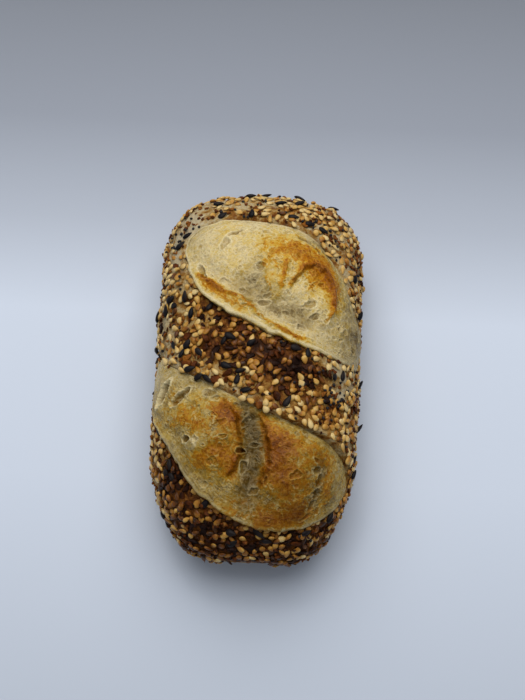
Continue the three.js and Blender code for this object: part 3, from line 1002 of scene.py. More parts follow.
@dataclass(frozen=True)
class DoughFinish:
    """Opened dough: cream to gold to orange brown on its folds; duller where it sank, partly as painted
    shade.

    Pale films, rings and walls stand for bubbles too small to model; the pale films along rims are partly
    painted highlight, and the duller, darker tone of its sunken parts and near end is partly painted shade.
    A strength is how much something counts in how darkly the dough is baked.
    """

    stops: Stops = (
        (0.0, (0.61, 0.495, 0.27)),
        (0.2, (0.57, 0.405, 0.112)),
        (0.4, (0.51, 0.285, 0.022)),
        (0.6, (0.44, 0.180, 0.004)),
        (0.8, (0.28, 0.084, 0.001)),
        (1.0, (0.11, 0.028, 0.001)),
    )
    # dull olive brown: partly the dough's own colour and partly painted shade
    dull_and_shade_colour: Colour = (0.172, 0.108, 0.019)
    # multiplied in for painted shade, for thin dough and for the fine grain
    shade_and_thin_dough: Colour = (0.43, 0.37, 0.28)
    # pale: for films, painted rim highlights and the lines of small bubbles
    film_and_highlight: Colour = (0.76, 0.65, 0.38)
    wall_mm: float = 1.4
    pane_mm: float = 2.7
    ring_mm: Pair = (1.3, 2.6)
    ring_share: float = 0.25
    stain_mm: float = 3.4
    mottle_mm: float = 1.2
    cloud_mm: float = 4.4
    grain_mm: float = 0.7
    wall_patch_mm: float = 3.1
    ring_patch_mm: float = 2.0
    pane_patch_mm: float = 4.0
    strand_patch_mm: float = 3.6
    brown_strength: float = 0.62
    stain_strength: float = 0.26
    mottle_strength: float = 0.85
    strand_strength: float = 0.6
    pale_strength: float = 0.22
    stain_lean: float = 0.9  # how much more easily brown dough is stained
    film_and_highlight_gain: float = 1.7

    def lines(self, paint: Painter) -> Socket:
        """Thin pale walls and rings of small bubbles.

        Args:
            paint: the material's painter.

        Returns:
            Their share of each place.
        """
        place = paint.warped(0.9, by_mm=0.22)
        walls = paint.spread(paint.walls(self.wall_mm, place), 0.09, 0.02, 0.0, 0.6)
        walls = paint.times(walls, paint.spread(paint.noise(self.wall_patch_mm, rough=0.6), 0.46, 0.60))
        small, large = (paint.rings(size, self.ring_share, place) for size in self.ring_mm)
        ring_patches = paint.spread(paint.noise(self.ring_patch_mm, rough=0.6), 0.45, 0.6)
        return paint.larger(walls, paint.times(paint.larger(small, large), ring_patches))

    def panes(self, paint: Painter, dull_and_shade: Socket) -> Socket:
        """The dark thin dough inside larger bubbles' walls.

        Args:
            paint: the material's painter.
            dull_and_shade: how dull the dough is, partly as painted shade.

        Returns:
            Its share of each place.
        """
        panes = paint.spread(paint.walls(self.pane_mm, paint.warped(2.2, by_mm=0.7)), 0.03, 0.13)
        panes = paint.times(panes, paint.spread(paint.noise(self.pane_patch_mm, rough=0.6), 0.46, 0.60))
        return paint.times(panes, paint.spread(dull_and_shade, 0.0, 0.45, 0.15, 1.0))

    def pulled(self, paint: Painter) -> Socket:
        """The streaks of dough that was pulled out as it rose.

        Args:
            paint: the material's painter.

        Returns:
            A swing about 0, stronger where the dough was pulled more.
        """
        streaks = paint.sway(paint.strands("strand"), paint.attribute("pulled"))
        patches = paint.noise(self.strand_patch_mm, detail=4.0, rough=0.6)
        return paint.times(streaks, paint.spread(patches, 0.40, 0.62, 0.1, 1.0))

    def baked(self, paint: Painter, brown: Socket, stain: Socket, pulled: Socket, pale: Socket) -> Socket:
        """How darkly the dough is baked.

        Args:
            paint: the material's painter.
            brown: how darkly its patches and folds are baked.
            stain: its stains.
            pulled: its streaks.
            pale: its films, painted rim highlights and lines.

        Returns:
            A value from 0 to 1.
        """
        mottle = paint.noise(self.mottle_mm, detail=5.0, rough=0.7, swirl=0.5)
        mottle = paint.sway(mottle, self.mottle_strength)
        broad = paint.plus(paint.times(brown, self.brown_strength), paint.times(stain, self.stain_strength))
        fine = paint.plus(mottle, paint.times(pulled, self.strand_strength))
        return paint.minus(paint.plus(broad, fine), paint.times(pale, self.pale_strength), clamp=True)

    def dulled_and_shaded(self, paint: Painter, dull_and_shade: Socket, stain: Socket) -> Socket:
        """How dull the dough is, partly as painted shade, in clouds and less where it is stained.

        Args:
            paint: the material's painter.
            dull_and_shade: how dull its patches and folds are, partly as painted shade.
            stain: its stains.

        Returns:
            A value from 0 to 1.
        """
        clouds = paint.noise(self.cloud_mm, detail=4.0, rough=0.6, swirl=0.6)
        dull = paint.times(dull_and_shade, paint.spread(clouds, 0.36, 0.62, 0.6, 1.25))
        return paint.times(dull, paint.spread(stain, 0.0, 1.0, 1.0, 0.45), clamp=True)

    def relief(self, paint: Painter, fine: Socket, pulled: Socket) -> Socket:
        """The small relief of the dough.

        Args:
            paint: the material's painter.
            fine: the height of its lines and panes.
            pulled: its streaks.

        Returns:
            The bumped normal.
        """
        normal = paint.bump(fine, depth_mm=0.1)
        normal = paint.bump(paint.noise(0.8, detail=4.0, rough=0.6), depth_mm=0.12, under=normal)
        normal = paint.bump(paint.noise(2.6, detail=4.0, rough=0.5, swirl=0.5), depth_mm=0.25, under=normal)
        return paint.bump(pulled, depth_mm=0.5, under=normal)

    def material(self) -> bpy.types.Material:
        """Makes the material.

        Returns:
            The finished material.
        """
        paint = Painter("opened_dough")
        brown, dull_and_shade, film_and_highlight = (paint.attribute(name) for name in ("brown", "dull_and_shade", "film_and_highlight"))
        lines, panes, pulled = self.lines(paint), self.panes(paint, dull_and_shade), self.pulled(paint)
        stain = paint.noise(self.stain_mm, detail=5.0, rough=0.62, swirl=1.4)
        stain = paint.spread(paint.plus(stain, paint.times(brown, self.stain_lean)), 0.90, 1.08)

        colour = paint.ramp(self.baked(paint, brown, stain, pulled, paint.larger(film_and_highlight, lines)), self.stops)
        colour = paint.mix(self.dulled_and_shaded(paint, dull_and_shade, stain), colour, self.dull_and_shade_colour)
        panes = paint.times(panes, paint.spread(stain, 0.0, 0.8, 0.55, 0.1))
        # painted shade, thin dough and the panes darken the colour
        thin = paint.plus(paint.attribute("shade_and_thin_dough"), panes, clamp=True)
        colour = paint.mix(thin, colour, self.shade_and_thin_dough, "MULTIPLY")
        # pale films, painted rim highlights, lines and streaks lighten the colour
        pale_and_highlight = paint.larger(paint.times(film_and_highlight, self.film_and_highlight_gain), lines)
        pale_and_highlight = paint.larger(pale_and_highlight, paint.spread(pulled, -0.03, -0.16))
        pale_and_highlight = paint.times(pale_and_highlight, paint.spread(stain, 0.0, 0.8, 0.32, 0.045))
        pale_and_highlight = paint.times(pale_and_highlight, paint.spread(dull_and_shade, 0.1, 0.6, 1.0, 0.5))
        colour = paint.mix(pale_and_highlight, colour, self.film_and_highlight)
        grain = paint.spread(paint.noise(self.grain_mm, rough=0.6), 0.3, 0.5, 0.5, 0.0)
        grain = paint.larger(grain, paint.spread(pulled, 0.03, 0.16, 0.0, 0.5))
        colour = paint.mix(grain, colour, self.shade_and_thin_dough, "MULTIPLY")

        normal = self.relief(paint, paint.minus(lines, panes), pulled)
        rough = paint.spread(paint.noise(1.4), 0.35, 0.65, 0.2, 0.42)
        return paint.finish(colour, rough, normal, gloss=0.1, translucence=0.06)


@dataclass(frozen=True)
class SeedFinish:
    """A seed's or flake's finish, along a row of colours from raw to burnt."""

    name: str
    stops: Stops
    roughness: float
    gloss: float
    grain_mm: float = 0.35
    grain_depth: float = 0.03
    translucence: float = 0.0
    patch_mm: float = 1.6
    patch_strength: float = 0.5
    tip_strength: float = 0.16  # how much darker its tip is

    def material(self) -> bpy.types.Material:
        """Makes the material.

        Returns:
            The finished material.
        """
        paint = Painter(self.name)
        patch = paint.sway(paint.noise(self.patch_mm, detail=2.0), self.patch_strength)
        tip = paint.times(paint.attribute("tip"), self.tip_strength)
        # this attribute holds both the baking and the painted shade that the skin passes on
        baked = paint.plus(paint.attribute("toast_and_shade"), paint.plus(patch, tip), clamp=True)
        normal = paint.bump(paint.noise(self.grain_mm, rough=0.6), self.grain_depth)
        colour = paint.ramp(baked, self.stops)
        return paint.finish(colour, self.roughness, normal, self.gloss, self.translucence)


SESAME_FINISH = SeedFinish(
    "sesame",
    (
        (0.0, (0.63, 0.46, 0.20)),
        (0.25, (0.53, 0.31, 0.075)),
        (0.5, (0.37, 0.160, 0.022)),
        (0.75, (0.155, 0.050, 0.007)),
        (1.0, (0.040, 0.015, 0.005)),
    ),
    roughness=0.34, gloss=0.2, translucence=0.06,
)
BLACK_SESAME_FINISH = SeedFinish(
    "black_sesame", ((0.0, (0.005, 0.005, 0.007)), (1.0, (0.02, 0.014, 0.012))),
    roughness=0.42, gloss=0.09, grain_depth=0.06,
)
POPPY_FINISH = SeedFinish(
    "poppy", ((0.0, (0.008, 0.007, 0.009)), (1.0, (0.025, 0.017, 0.015))),
    roughness=0.55, gloss=0.25, grain_mm=0.15, grain_depth=0.05,
)
FLAKE_STOPS = (
    (0.0, (0.25, 0.087, 0.012)),
    (0.3, (0.120, 0.030, 0.004)),
    (0.65, (0.040, 0.011, 0.003)),
    (1.0, (0.012, 0.004, 0.002)),
)
FLAKE_FINISH = SeedFinish(
    "onion_flake", FLAKE_STOPS, roughness=0.4, gloss=0.08, grain_mm=0.8, grain_depth=0.4,
)
CRUMB_FINISH = SeedFinish(
    "onion_crumb", FLAKE_STOPS, roughness=0.45, gloss=0.08, grain_mm=0.5, grain_depth=0.2,
)


# ---------------------------------------------------------------- modelling helpers


def points_of(piece: bpy.types.Object) -> Array:
    """Reads a piece's points.

    Args:
        piece: the piece.

    Returns:
        The points, one a row.
    """
    points = np.empty(len(piece.data.vertices) * 3)
    piece.data.vertices.foreach_get("co", points)
    return points.reshape(-1, 3)


def set_points(piece: bpy.types.Object, points: Array) -> None:
    """Moves a piece's points."""
    piece.data.vertices.foreach_set("co", points.ravel())
    piece.data.update()


def set_attribute(mesh: bpy.types.Mesh, name: str, values: Array) -> None:
    """Gives a mesh one number, or one vector, for each point.

    Args:
        mesh: the mesh.
        name: the attribute's name.
        values: the numbers, or the vectors as rows.
    """
    is_vector = values.ndim == 2
    attribute = mesh.attributes.new(name, "FLOAT_VECTOR" if is_vector else "FLOAT", "POINT")
    attribute.data.foreach_set("vector" if is_vector else "value", values.astype(np.float32).ravel())


def sheet(name: str, across: int, onward: int) -> tuple[bpy.types.Object, Array, Array]:
    """A flat grid of faces, as the start of a piece that is rolled up from it.

    Args:
        name: the piece's name.
        across: faces from side to side.
        onward: faces from front to back.

    Returns:
        The new object, selected alone, and each point's shares of the way across and onward.
    """
    bpy.ops.object.select_all(action="DESELECT")
    bpy.ops.mesh.primitive_grid_add(x_subdivisions=across, y_subdivisions=onward, size=1, calc_uvs=False)
    piece = bpy.context.object
    piece.name = piece.data.name = name
    points = points_of(piece)
    return piece, points[:, 0] + 0.5, points[:, 1] + 0.5


def weld(piece: bpy.types.Object, gap: float = 0.001 * MM) -> None:
    """Joins a rolled-up sheet where its edges meet, turns its faces outward and smooths it.

    Args:
        piece: the rolled-up sheet.
        gap: how near two points have to be to become one.
    """
    bpy.ops.object.mode_set(mode="EDIT")
    bpy.ops.mesh.select_all(action="SELECT")
    bpy.ops.mesh.remove_doubles(threshold=gap)
    bpy.ops.mesh.normals_make_consistent(inside=False)
    bpy.ops.object.mode_set(mode="OBJECT")
    bpy.ops.object.shade_smooth()


def dress(piece: bpy.types.Object, material: bpy.types.Material) -> None:
    """Gives a finished piece its finish, and its part in the loaf.

    Args:
        piece: the piece.
        material: its finish.
    """
    piece.data.materials.clear()
    piece.data.materials.append(material)
    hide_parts(LOAF_NODE)
    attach(piece, BODY)
    log.info("%s: %d faces", piece.name, len(piece.data.polygons))


# ---------------------------------------------------------------- the skin


@dataclass
class Skin:
    """The seeded skin, with the two cuts sunk into it."""

    form: LoafForm
    openings: tuple[Opening, ...]
    around: int = 384
    rows: int = 250
    underside_stretch: float = 0.22  # how much longer its faces are underneath
    stretch_power: int = 7
    cut_depth: float = 5.0
    cut_slope: float = 1.5
    lip_fade: float = 5.0
    lip_share: float = 0.6
    sag_share: float = 0.25
    lump_mm: float = 0.4
    fine_share: float = 0.45  # how high the finer lumps are beside the broad ones
    foot_fade: Pair = (1.0, 8.0)  # heights between which it leaves the bare dome
    base_toast: float = 0.16
    patches: tuple[Oval, ...] = (
        Oval((3, -4.5), (33, 9), -24, brown=0.52),
        Oval((-44, 10), (14, 44), brown=-0.13),
        # darker under the far opening's lip: partly harder baking and partly painted shade
        Oval((-15, 14.2), (12, 2.6), -36, brown=0.5),
        Oval((-17, -2), (7, 4), -20, brown=0.2),
        Oval((13, -4), (11, 5), -25, brown=0.34),
        Oval((20, -23), (16, 4), -28, brown=0.24),
        Oval((31, -10), (7, 7), brown=-0.5),
        Oval((-36, -50), (12, 18), brown=0.4),
        Oval((-28, -48), (5, 6), brown=0.3),
        # darker over the near end: partly harder baking and partly painted shade
        Oval((0, -74), (70, 20), brown=0.66),
        Oval((80, 10), (24, 60), brown=0.16),
        Oval((-80, 10), (24, 60), brown=0.16),
        Oval((-12, -60), (14, 3), 25, brown=0.2),
        Oval((44, -50), (12, 14), brown=0.2),
        Oval((6, 58), (16, 3), brown=0.2),
        Oval((-30, 50), (9, 9), brown=-0.2),
        Oval((-44, 3), (10, 4), brown=-0.2),
        Oval((-31, 24), (5, 10), 10, brown=0.12),
        Oval((29, 32), (3, 9), 30, brown=0.2),
    )

    def cuts(self, places: Array) -> list[tuple[Array, Array]]:
        """How far each place is inside each opening, and the edge height nearest to it."""
        return [opening.inside(places) for opening in self.openings]

    def lift(self, places: Array, cuts: list[tuple[Array, Array]]) -> Array:
        """How far the skin stands off the bare dome, apart from where it is cut away.

        Args:
            places: (girth, along) pairs, one a row.
            cuts: what cuts() says of them.

        Returns:
            The lift of each place, in millimetres.
        """
        lift = self.form.unevenness(places)
        for depth, edge in cuts:
            share = np.where(edge < 0, self.lip_share, self.sag_share)
            lift = lift - share * edge * np.exp(-((depth / self.lip_fade) ** 2))
        return lift

    def toast_and_shade(self, places: Array) -> Array:
        """How dark the skin and what lies on it are, by baking and by painted shade, from 0 to 1."""
        patches = sum(patch.brown * patch.share(places) for patch in self.patches)
        return np.clip(self.base_toast + patches, 0, 1)

    def build(self, material: bpy.types.Material) -> bpy.types.Object:
        """Makes the skin.

        Args:
            material: its finish.

        Returns:
            The finished piece.
        """
        piece, across, onward = sheet("seeded_skin", self.around, self.rows)
        turn = math.pi * (onward - 0.5)
        radius = square_radius(np.sin(turn), np.cos(turn), self.form.dome_squareness)
        share = 2 * across - 1
        stretched = self.underside_stretch * share**self.stretch_power
        angle = math.pi * ((1 - self.underside_stretch) * share + stretched)
        along = self.form.half_length * radius * np.sin(turn)
        places = np.stack([self.form.girth_per_radian * angle, along], axis=1)

        plain = self.form.plain(places)
        cuts = self.cuts(places)
        lift = self.lift(places, cuts)
        broad, fine = roughness_at(plain, 4.0, 2, 7.0), roughness_at(plain, 1.7, 2, 9.0)
        lift += self.lump_mm * broad + self.fine_share * self.lump_mm * fine
        for depth, _ in cuts:
            lift -= self.cut_depth * step_between(0.0, self.cut_slope, depth)
        lift *= step_between(*self.foot_fade, plain[:, 2])
        set_points(piece, (plain + self.form.outward(places) * lift[:, None]) * MM)
        set_attribute(piece.data, "toast_and_shade", self.toast_and_shade(places))
        weld(piece)
        dress(piece, material)
        return piece


# ---------------------------------------------------------------- the opened dough


@dataclass
class DoughGrid:
    """Where every point of the dough lies in its opening."""

    places: Array  # (girth, along) pairs
    plain: Array  # points of the bare dome, in millimetres
    reach: Array  # 0 in the middle, 1 at the rim
    under: Array  # 0 on top, 1 in the middle of the root
    edge: Array  # how far the rim stands over the skin
    rim_gap: Array  # millimetres to the rim
    angle: Array  # direction from the middle


@dataclass
class DoughMarks:
    """What the patches, folds and bubbles do at every point of the dough."""

    relief: Array  # millimetres, by the patches, the folds and the lumps
    dents: Array  # millimetres, by the bubbles
    brown: Array  # how darkly it is baked
    dull_and_shade: Array  # how dull it is, partly its own olive colour and partly painted shade
    shade_and_thin_dough: Array  # how much it is darkened, by painted shade and like thin dough over a hole
    film_and_highlight: Array  # how pale it is painted on rims, as a thin skin and as a painted highlight


@dataclass
class Dough:
    """The dough in one opening, from the middle of its top, over its lip, to a root inside the loaf."""

    form: LoafForm
    opening: Opening
    seed: int
    spokes: int = 540
    rings: int = 176
    top_rings: int = 154
    rim_width: float = 4.0
    lip_round: float = 1.1
    lip_drop: float = 0.7
    curl_share: float = 0.4  # of its underside, over which the rim curls under
    sink_share: float = 0.42  # over which it sinks to the root
    root_share: float = 0.45  # beyond which the root is
    root_reach: float = 0.965
    root_depth: float = 5.0
    rim_curve: float = 1.12  # how much closer its rings lie towards the rim
    strand_mm: float = 0.6
    strand_turn: float = 4.0  # how quickly a strand changes round the opening
    strand_fade: float = 10.0  # millimetres from the rim over which the strands fade
    least_pulled: float = 0.15
    ragged_mm: float = 0.7
    ragged_edge: float = 0.35
    warp_mm: float = 0.8
    small_bubbles: int = 420
    bubble_clearance: float = 1.5
    bubble_sizes: Pair = (0.42, 1.7)
    bubble_depths: Pair = (0.15, 0.45)  # of a burst one, in its half-sizes
    bubble_rise: float = 0.2  # of a whole one
    lump_mm: float = 0.6
    small_lump_mm: float = 0.06
    ridge_mm: float = 0.16
    ridge_sharpness: float = 7.0
    ridge_brown: float = 0.14
    relief_brown: float = 0.02
    cloud_brown: float = 0.16
    # Inside its rim the dough is painted paler, partly as a thin skin and partly as a painted highlight.
    rim_pale_and_highlight: float = 0.08
    rim_pale_and_highlight_width: float = 3.0
    edge_brown: float = 0.24
    edge_width: float = 0.6
    edge_film_and_highlight: float = 0.7
    edge_film_and_highlight_at: float = 1.0
    most_dull_and_shade: float = 0.85

    def small_ones(self) -> list[Bubble]:
        """Scatters many small bubbles over the dough, burst and whole.

        Returns:
            The bubbles.
        """
        draw = np.random.default_rng(self.seed)
        low, high = self.opening.loop[:, :2].min(axis=0), self.opening.loop[:, :2].max(axis=0)
        spots = draw.uniform(low, high, (6 * self.small_bubbles, 2))
        depth, _ = self.opening.inside(spots)
        spots = spots[depth > self.bubble_clearance][: self.small_bubbles]
        sizes = np.clip(draw.lognormal(-0.38, 0.4, len(spots)), *self.bubble_sizes)
        return [
            Bubble(
                (float(spot[0]), float(spot[1])), (size, size * draw.uniform(0.55, 1)), draw.uniform(0, 180),
                size * draw.choice([draw.uniform(*self.bubble_depths), -self.bubble_rise]),
            )
            for spot, size in zip(spots, sizes)
        ]

    def grid(self, across: Array, onward: Array) -> DoughGrid:
        """Lays a sheet's points out in the opening.

        Args:
            across: each point's share of the way round.
            onward: each point's share of the way from the middle of the top to the middle of the root.

        Returns:
            Where they lie.
        """
        centre = self.opening.centre
        outline = smooth_loop(np.array(self.opening.outline), self.spokes, closed=True)
        flat = np.c_[outline[:, :2], np.zeros(self.spokes)]
        ragged = roughness_at(flat, 6.0, 3, self.seed)
        outline[:, :2] += unit(outline[:, :2] - centre) * self.ragged_mm * ragged[:, None]
        outline[:, 2] += self.ragged_edge * roughness_at(flat, 5.0, 2, self.seed + 3.0)
        end = outline[np.rint(across * self.spokes).astype(int) % self.spokes]

        top_share = self.top_rings / self.rings
        under = np.clip((onward - top_share) / (1 - top_share), 0, 1)
        reach = 1 - (1 - np.minimum(onward / top_share, 1)) ** self.rim_curve
        curl = (1 - self.root_reach) * step_between(0, self.curl_share, under)
        curl = curl + self.root_reach * step_between(self.root_share, 1, under)
        reach = np.where(under > 0, 1 - curl, reach)
        spoke = end[:, :2] - centre
        places = centre + spoke * reach[:, None]
        return DoughGrid(
            places, self.form.plain(places), reach, under, edge=end[:, 2],
            rim_gap=(1 - reach) * np.hypot(spoke[:, 0], spoke[:, 1]), angle=2 * math.pi * across,
        )

    def warped(self, grid: DoughGrid) -> Array:
        """The places pushed about a little, so that folds and patches get ragged edges."""
        push = [roughness_at(grid.plain, 3.0, 3, self.seed + shift) for shift in (11.0, 17.0)]
        return grid.places + self.warp_mm * np.stack(push, axis=1)

    def marks(self, grid: DoughGrid) -> DoughMarks:
        """Adds up what the patches, folds and bubbles do.

        Args:
            grid: where the points lie.

        Returns:
            The sums.
        """
        places = self.warped(grid)
        marks = DoughMarks(*np.zeros((6, len(places))))
        marks.brown += self.opening.base_brown
        for effect in (*self.opening.ovals, *self.opening.folds):
            share, lift = effect.shape(places)
            marks.relief += lift
            marks.brown += effect.brown * share
            marks.dull_and_shade += effect.dull_and_shade * share
            marks.shade_and_thin_dough += effect.shade_and_thin_dough * share
        for bubble in (*self.opening.bubbles, *self.small_ones()):
            bubble.press(places, marks.dents, marks.shade_and_thin_dough, marks.film_and_highlight)
        return marks

    def add_lumps(self, grid: DoughGrid, marks: DoughMarks) -> None:
        """Adds lumps and narrow winding ridges to the relief, and bakes the ridges darker.

        Args:
            grid: where the points lie.
            marks: the sums so far, changed in place.
        """
        lumps = self.lump_mm * roughness_at(grid.plain, 6.0, 2, self.seed + 1.0)
        winding = np.abs(roughness_at(grid.plain, 3.4, 2, self.seed + 2.0))
        ridges = np.clip(1 - self.ridge_sharpness * winding, 0, 1)
        lumps += self.ridge_mm * ridges + self.small_lump_mm * roughness_at(grid.plain, 1.6, 2, self.seed)
        marks.relief = marks.relief + lumps
        marks.brown += self.ridge_brown * ridges * step_between(0.2, 0.5, marks.brown)

    def add_bake(self, grid: DoughGrid, marks: DoughMarks) -> None:
        """Bakes the dough by its height, in clouds, and along its rim, and paints a pale band inside the rim,
        partly as a thin skin and partly as a painted highlight.

        Args:
            grid: where the points lie.
            marks: the sums so far, changed in place.
        """
        clouds = roughness_at(grid.plain, 9.0, 3, self.seed + 5.0)
        marks.brown += self.relief_brown * np.clip(marks.relief, -2, 3) + self.cloud_brown * clouds
        # paler near the rim, partly as a thin skin and partly as a painted highlight
        marks.brown -= self.rim_pale_and_highlight * np.exp(-((grid.rim_gap / self.rim_pale_and_highlight_width) ** 2))
        marks.brown += self.edge_brown * step_between(self.edge_width, 0.0, grid.rim_gap)
        # a pale band just inside the rim: a thin skin and a painted highlight
        inside_rim = np.exp(-(((grid.rim_gap - self.edge_film_and_highlight_at) / self.edge_width) ** 2))
        marks.film_and_highlight = np.maximum(marks.film_and_highlight, self.edge_film_and_highlight * inside_rim)

    def lift(self, grid: DoughGrid, marks: DoughMarks) -> Array:
        """How far the dough stands off the bare dome.

        Args:
            grid: where the points lie.
            marks: the relief and the dents.

        Returns:
            The lift of each point, in millimetres.
        """
        rim = grid.edge * np.exp(-((grid.rim_gap / self.rim_width) ** 2))
        inward = np.clip(1 - grid.rim_gap / self.lip_round, 0, 1)
        round_off = 1 - np.sqrt(1 - inward**2)
        lift = self.form.unevenness(grid.places) + self.opening.rise * (1 - grid.reach**3) + rim
        small = (1 - grid.reach**5) * marks.relief + (1 - grid.reach**16) * marks.dents
        lift += small - self.lip_drop * round_off
        root = -self.root_depth * (1 + step_between(self.root_share, 1, grid.under))
        return lift + (root - lift) * step_between(0, self.sink_share, grid.under)

    def build(self, material: bpy.types.Material) -> bpy.types.Object:
        """Makes the dough.

        Args:
            material: its finish.

        Returns:
            The finished piece.
        """
        piece, across, onward = sheet(self.opening.name, self.spokes, self.rings)
        grid = self.grid(across, onward)
        marks = self.marks(grid)
        self.add_lumps(grid, marks)
        lift = self.lift(grid, marks)
        set_points(piece, (grid.plain + self.form.outward(grid.places) * lift[:, None]) * MM)

        self.add_bake(grid, marks)
        turn = self.strand_turn
        strand = [turn * np.cos(grid.angle), turn * np.sin(grid.angle), grid.rim_gap / self.strand_mm]
        near_rim = np.exp(-((grid.rim_gap / self.strand_fade) ** 2))
        values = {
            "brown": np.clip(marks.brown, 0, 1),
            "dull_and_shade": np.clip(marks.dull_and_shade, 0, self.most_dull_and_shade),
            "shade_and_thin_dough": np.clip(marks.shade_and_thin_dough, 0, 1),
            "film_and_highlight": marks.film_and_highlight,
            "strand": np.stack(strand, axis=1),
            "pulled": self.least_pulled + (1 - self.least_pulled) * near_rim,
        }
        for name, numbers in values.items():
            set_attribute(piece.data, name, numbers)
        weld(piece)
        dress(piece, material)
        return piece


# ---------------------------------------------------------------- the seeds


class Kind(Enum):
    """The kinds of thing that lie on the skin."""

    FLAKE = "onion_flakes"
    BLACK_SESAME = "black_sesame_seeds"
    SESAME = "sesame_seeds"
    CRUMB = "onion_crumbs"
    POPPY = "poppy_seeds"


@dataclass(frozen=True)
class Topping:
    """One kind of topping: its size in millimetres, where it lies, and how baking and painted shade darken
    it.

    Placed holds (girth, along, turn) of the ones that stand out. The rest, up to count, are scattered, by
    crowd everywhere and by the crowd of each patch.
    """

    kind: Kind
    size: tuple[float, float, float]
    count: int
    finish: SeedFinish
    slot: str
    spacing: float  # closest centres, as a share of the mean length
    crowd: float
    patches: tuple[Oval, ...] = ()
    placed: tuple[tuple[float, float, float], ...] = ()
    base_toast: float = 0.3
    zone_share: float = 0.5  # how much it darkens with the skin's baking and painted shade
    toast_spread: float = 0.15
    size_spread: float = 0.1
    tilt: float = 12.0  # degrees
    shapes: int = 1
    clump: float = 0.0  # how patchily it lies

    def crowding(self, places: Array) -> Array:
        """How thickly it lies, from 0 to 1."""
        patches = sum(patch.crowd * patch.share(places) for patch in self.patches)
        return np.clip(self.crowd + patches, 0, 1)


BLACK_SEEDS = (
    (-35, 22, 20), (-38, 18, 70), (-33, 19, -15), (-46, 18, 85), (-27, 21, 75), (-24, 14, 80),
    (-17, 16, 60),
    (-31, 2, -45), (-24, 1, 60), (-26, -2, 70), (-19, -3, -50), (-45, 4, 10), (-11, 2, 60), (-9, 3, -20),
    (-2, 1, 40), (-10, -8, -20), (-5, -10, 20), (-6, -13, 85), (-16, -13, -40), (-19, -12, 20),
    (-3, -17, -10),
    (13, 0, -8), (17, -1, 90), (11, -20, 60), (28, -8, 35), (33, -6, 80), (52, -4, 80), (53, -21, 70),
    (45, 22, 80), (-22, -9, 10), (-30, 49, 25), (-33, 45, 40), (-16, 56, 40), (-5, 57, 80), (11, 56, -8),
    (17, 53, 5), (22, 51, -30), (0, 69, -10), (-9, 70, 0), (7, 65, 10), (20, 70, -20), (16, 66, 10),
    (38, 67, -30), (-20, 63, 20), (38, 35, 80), (-32, -42, 85), (-34, -45, 70), (-31, -47, -70),
    (-58, -60, -60),
    (-56, -57, -60), (-17, -56, 50), (-8, -65, -20), (-8, -68, 30), (10, -67, -10), (5, -65, -20),
    (37, -57, 85), (46, -35, 80), (46, -40, 80), (27, -63, 20), (-37, -29, 80),
)
FLAKES = (
    (-14, 11, 20), (-18, -1, 30), (-16, -6, 10), (-14, -2, 60), (-18, 4, 0), (-2, -4, 30), (3, -4, 40),
    (6, -6, 0), (13, -5, 10), (17, -6, -20), (-10, -13, 0), (-20, 12, -10), (2, -22, 30), (9, -15, 0),
    (19, -13, 20), (-9, -1, -10), (-25, 5, 40), (-21, -7, 0), (34, -16, 40), (-6, 7, 20), (-33, 35, 70),
    (-26, -46, -45), (-29, -50, -30), (-25, -51, 30), (-33, -33, 70), (-38, -36, 80), (-17, -68, 10),
    (-27, -63, 40), (1, -69, 0), (27, -67, 10), (9, -8, 0), (12, -8, 40), (-24, -4, 30), (14, -3, 60),
)
POPPIES = (
    (24, -18, 0), (24, -14, 0), (26, -16, 0), (26, -20, 0), (28, -18, 0), (30, -17, 0), (30, -19, 0),
    (31, -18, 0), (28, -11, 0), (27, -12, 0), (32, -9, 0), (36, -11, 0), (42, -2, 0), (44, -10, 0),
    (13, -13, 0), (5, -18, 0), (3, -11, 0), (-7, -17, 0), (14, -26, 0), (8, 2, 0), (-50, 1, 0), (-44, 1, 0),
    (-29, 9, 0), (-33, 11, 0), (-5, 4, 0), (-48, 53, 0), (-42, 30, 0), (28, 46, 0), (27, 48, 0), (25, 50, 0),
)
LOW_SIDES = (Oval((80, 0), (22, 90), crowd=0.5), Oval((-80, 0), (22, 90), crowd=0.5))


@dataclass(frozen=True)
class Laid:
    """One seed on the loaf: middle in millimetres, axes as rows, size, and how baking and painted shade
    darken it.
    """

    middle: Array
    axes: Array
    size: Array
    toast_and_shade: float


class Taken:
    """What lies on the skin already, sorted into cells so that neighbours are found quickly."""

    cell = 5.0
    touching = 0.92  # two seeds touch where their centres are closer, as a share of the mean length
    stacked = 0.8  # how much of a seed's height another one that lies on it gains
    rest_gain = 2.2
    lean_gain = 1.25

    def __init__(self) -> None:
        """Starts with nothing laid."""
        self.cells: dict[tuple[int, ...], list[tuple[Array, float, float]]] = defaultdict(list)

    def key(self, point: Array) -> tuple[int, ...]:
        """The cell that a point is in."""
        return tuple(np.floor(point / self.cell).astype(int))

    def add(self, point: Array, length: float, top: float) -> None:
        """Notes a seed that lies at a point, with its length and how high its top is over the skin."""
        self.cells[self.key(point)].append((point, length, top))

    def room(self, point: Array, length: float, spacing: float) -> tuple[Optional[float], Array]:
        """Whether there is room for a seed, and how it lies there.

        Args:
            point: where it should lie.
            length: how long it is.
            spacing: closest centres, as a share of the mean length.

        Returns:
            How high it rests over the skin, or None where it is too crowded, and the way that it leans.
        """
        x, y, z = self.key(point)
        rest, lean = 0.0, np.zeros(3)
        for key in ((x + i, y + j, z + k) for i in (-1, 0, 1) for j in (-1, 0, 1) for k in (-1, 0, 1)):
            for other, other_length, top in self.cells.get(key, ()):
                gap = math.dist(point, other)
                mean_length = 0.5 * (other_length + length)
                if gap < spacing * mean_length:
                    return None, lean
                overlap = 1 - gap / (self.touching * mean_length)
                if overlap > 0:
                    rest = max(rest, self.stacked * top * min(1.0, self.rest_gain * overlap))
                    lean += (point - other) * overlap
        return rest, lean / max(float(np.linalg.norm(lean)), TINY) * min(1.0, self.lean_gain * rest)


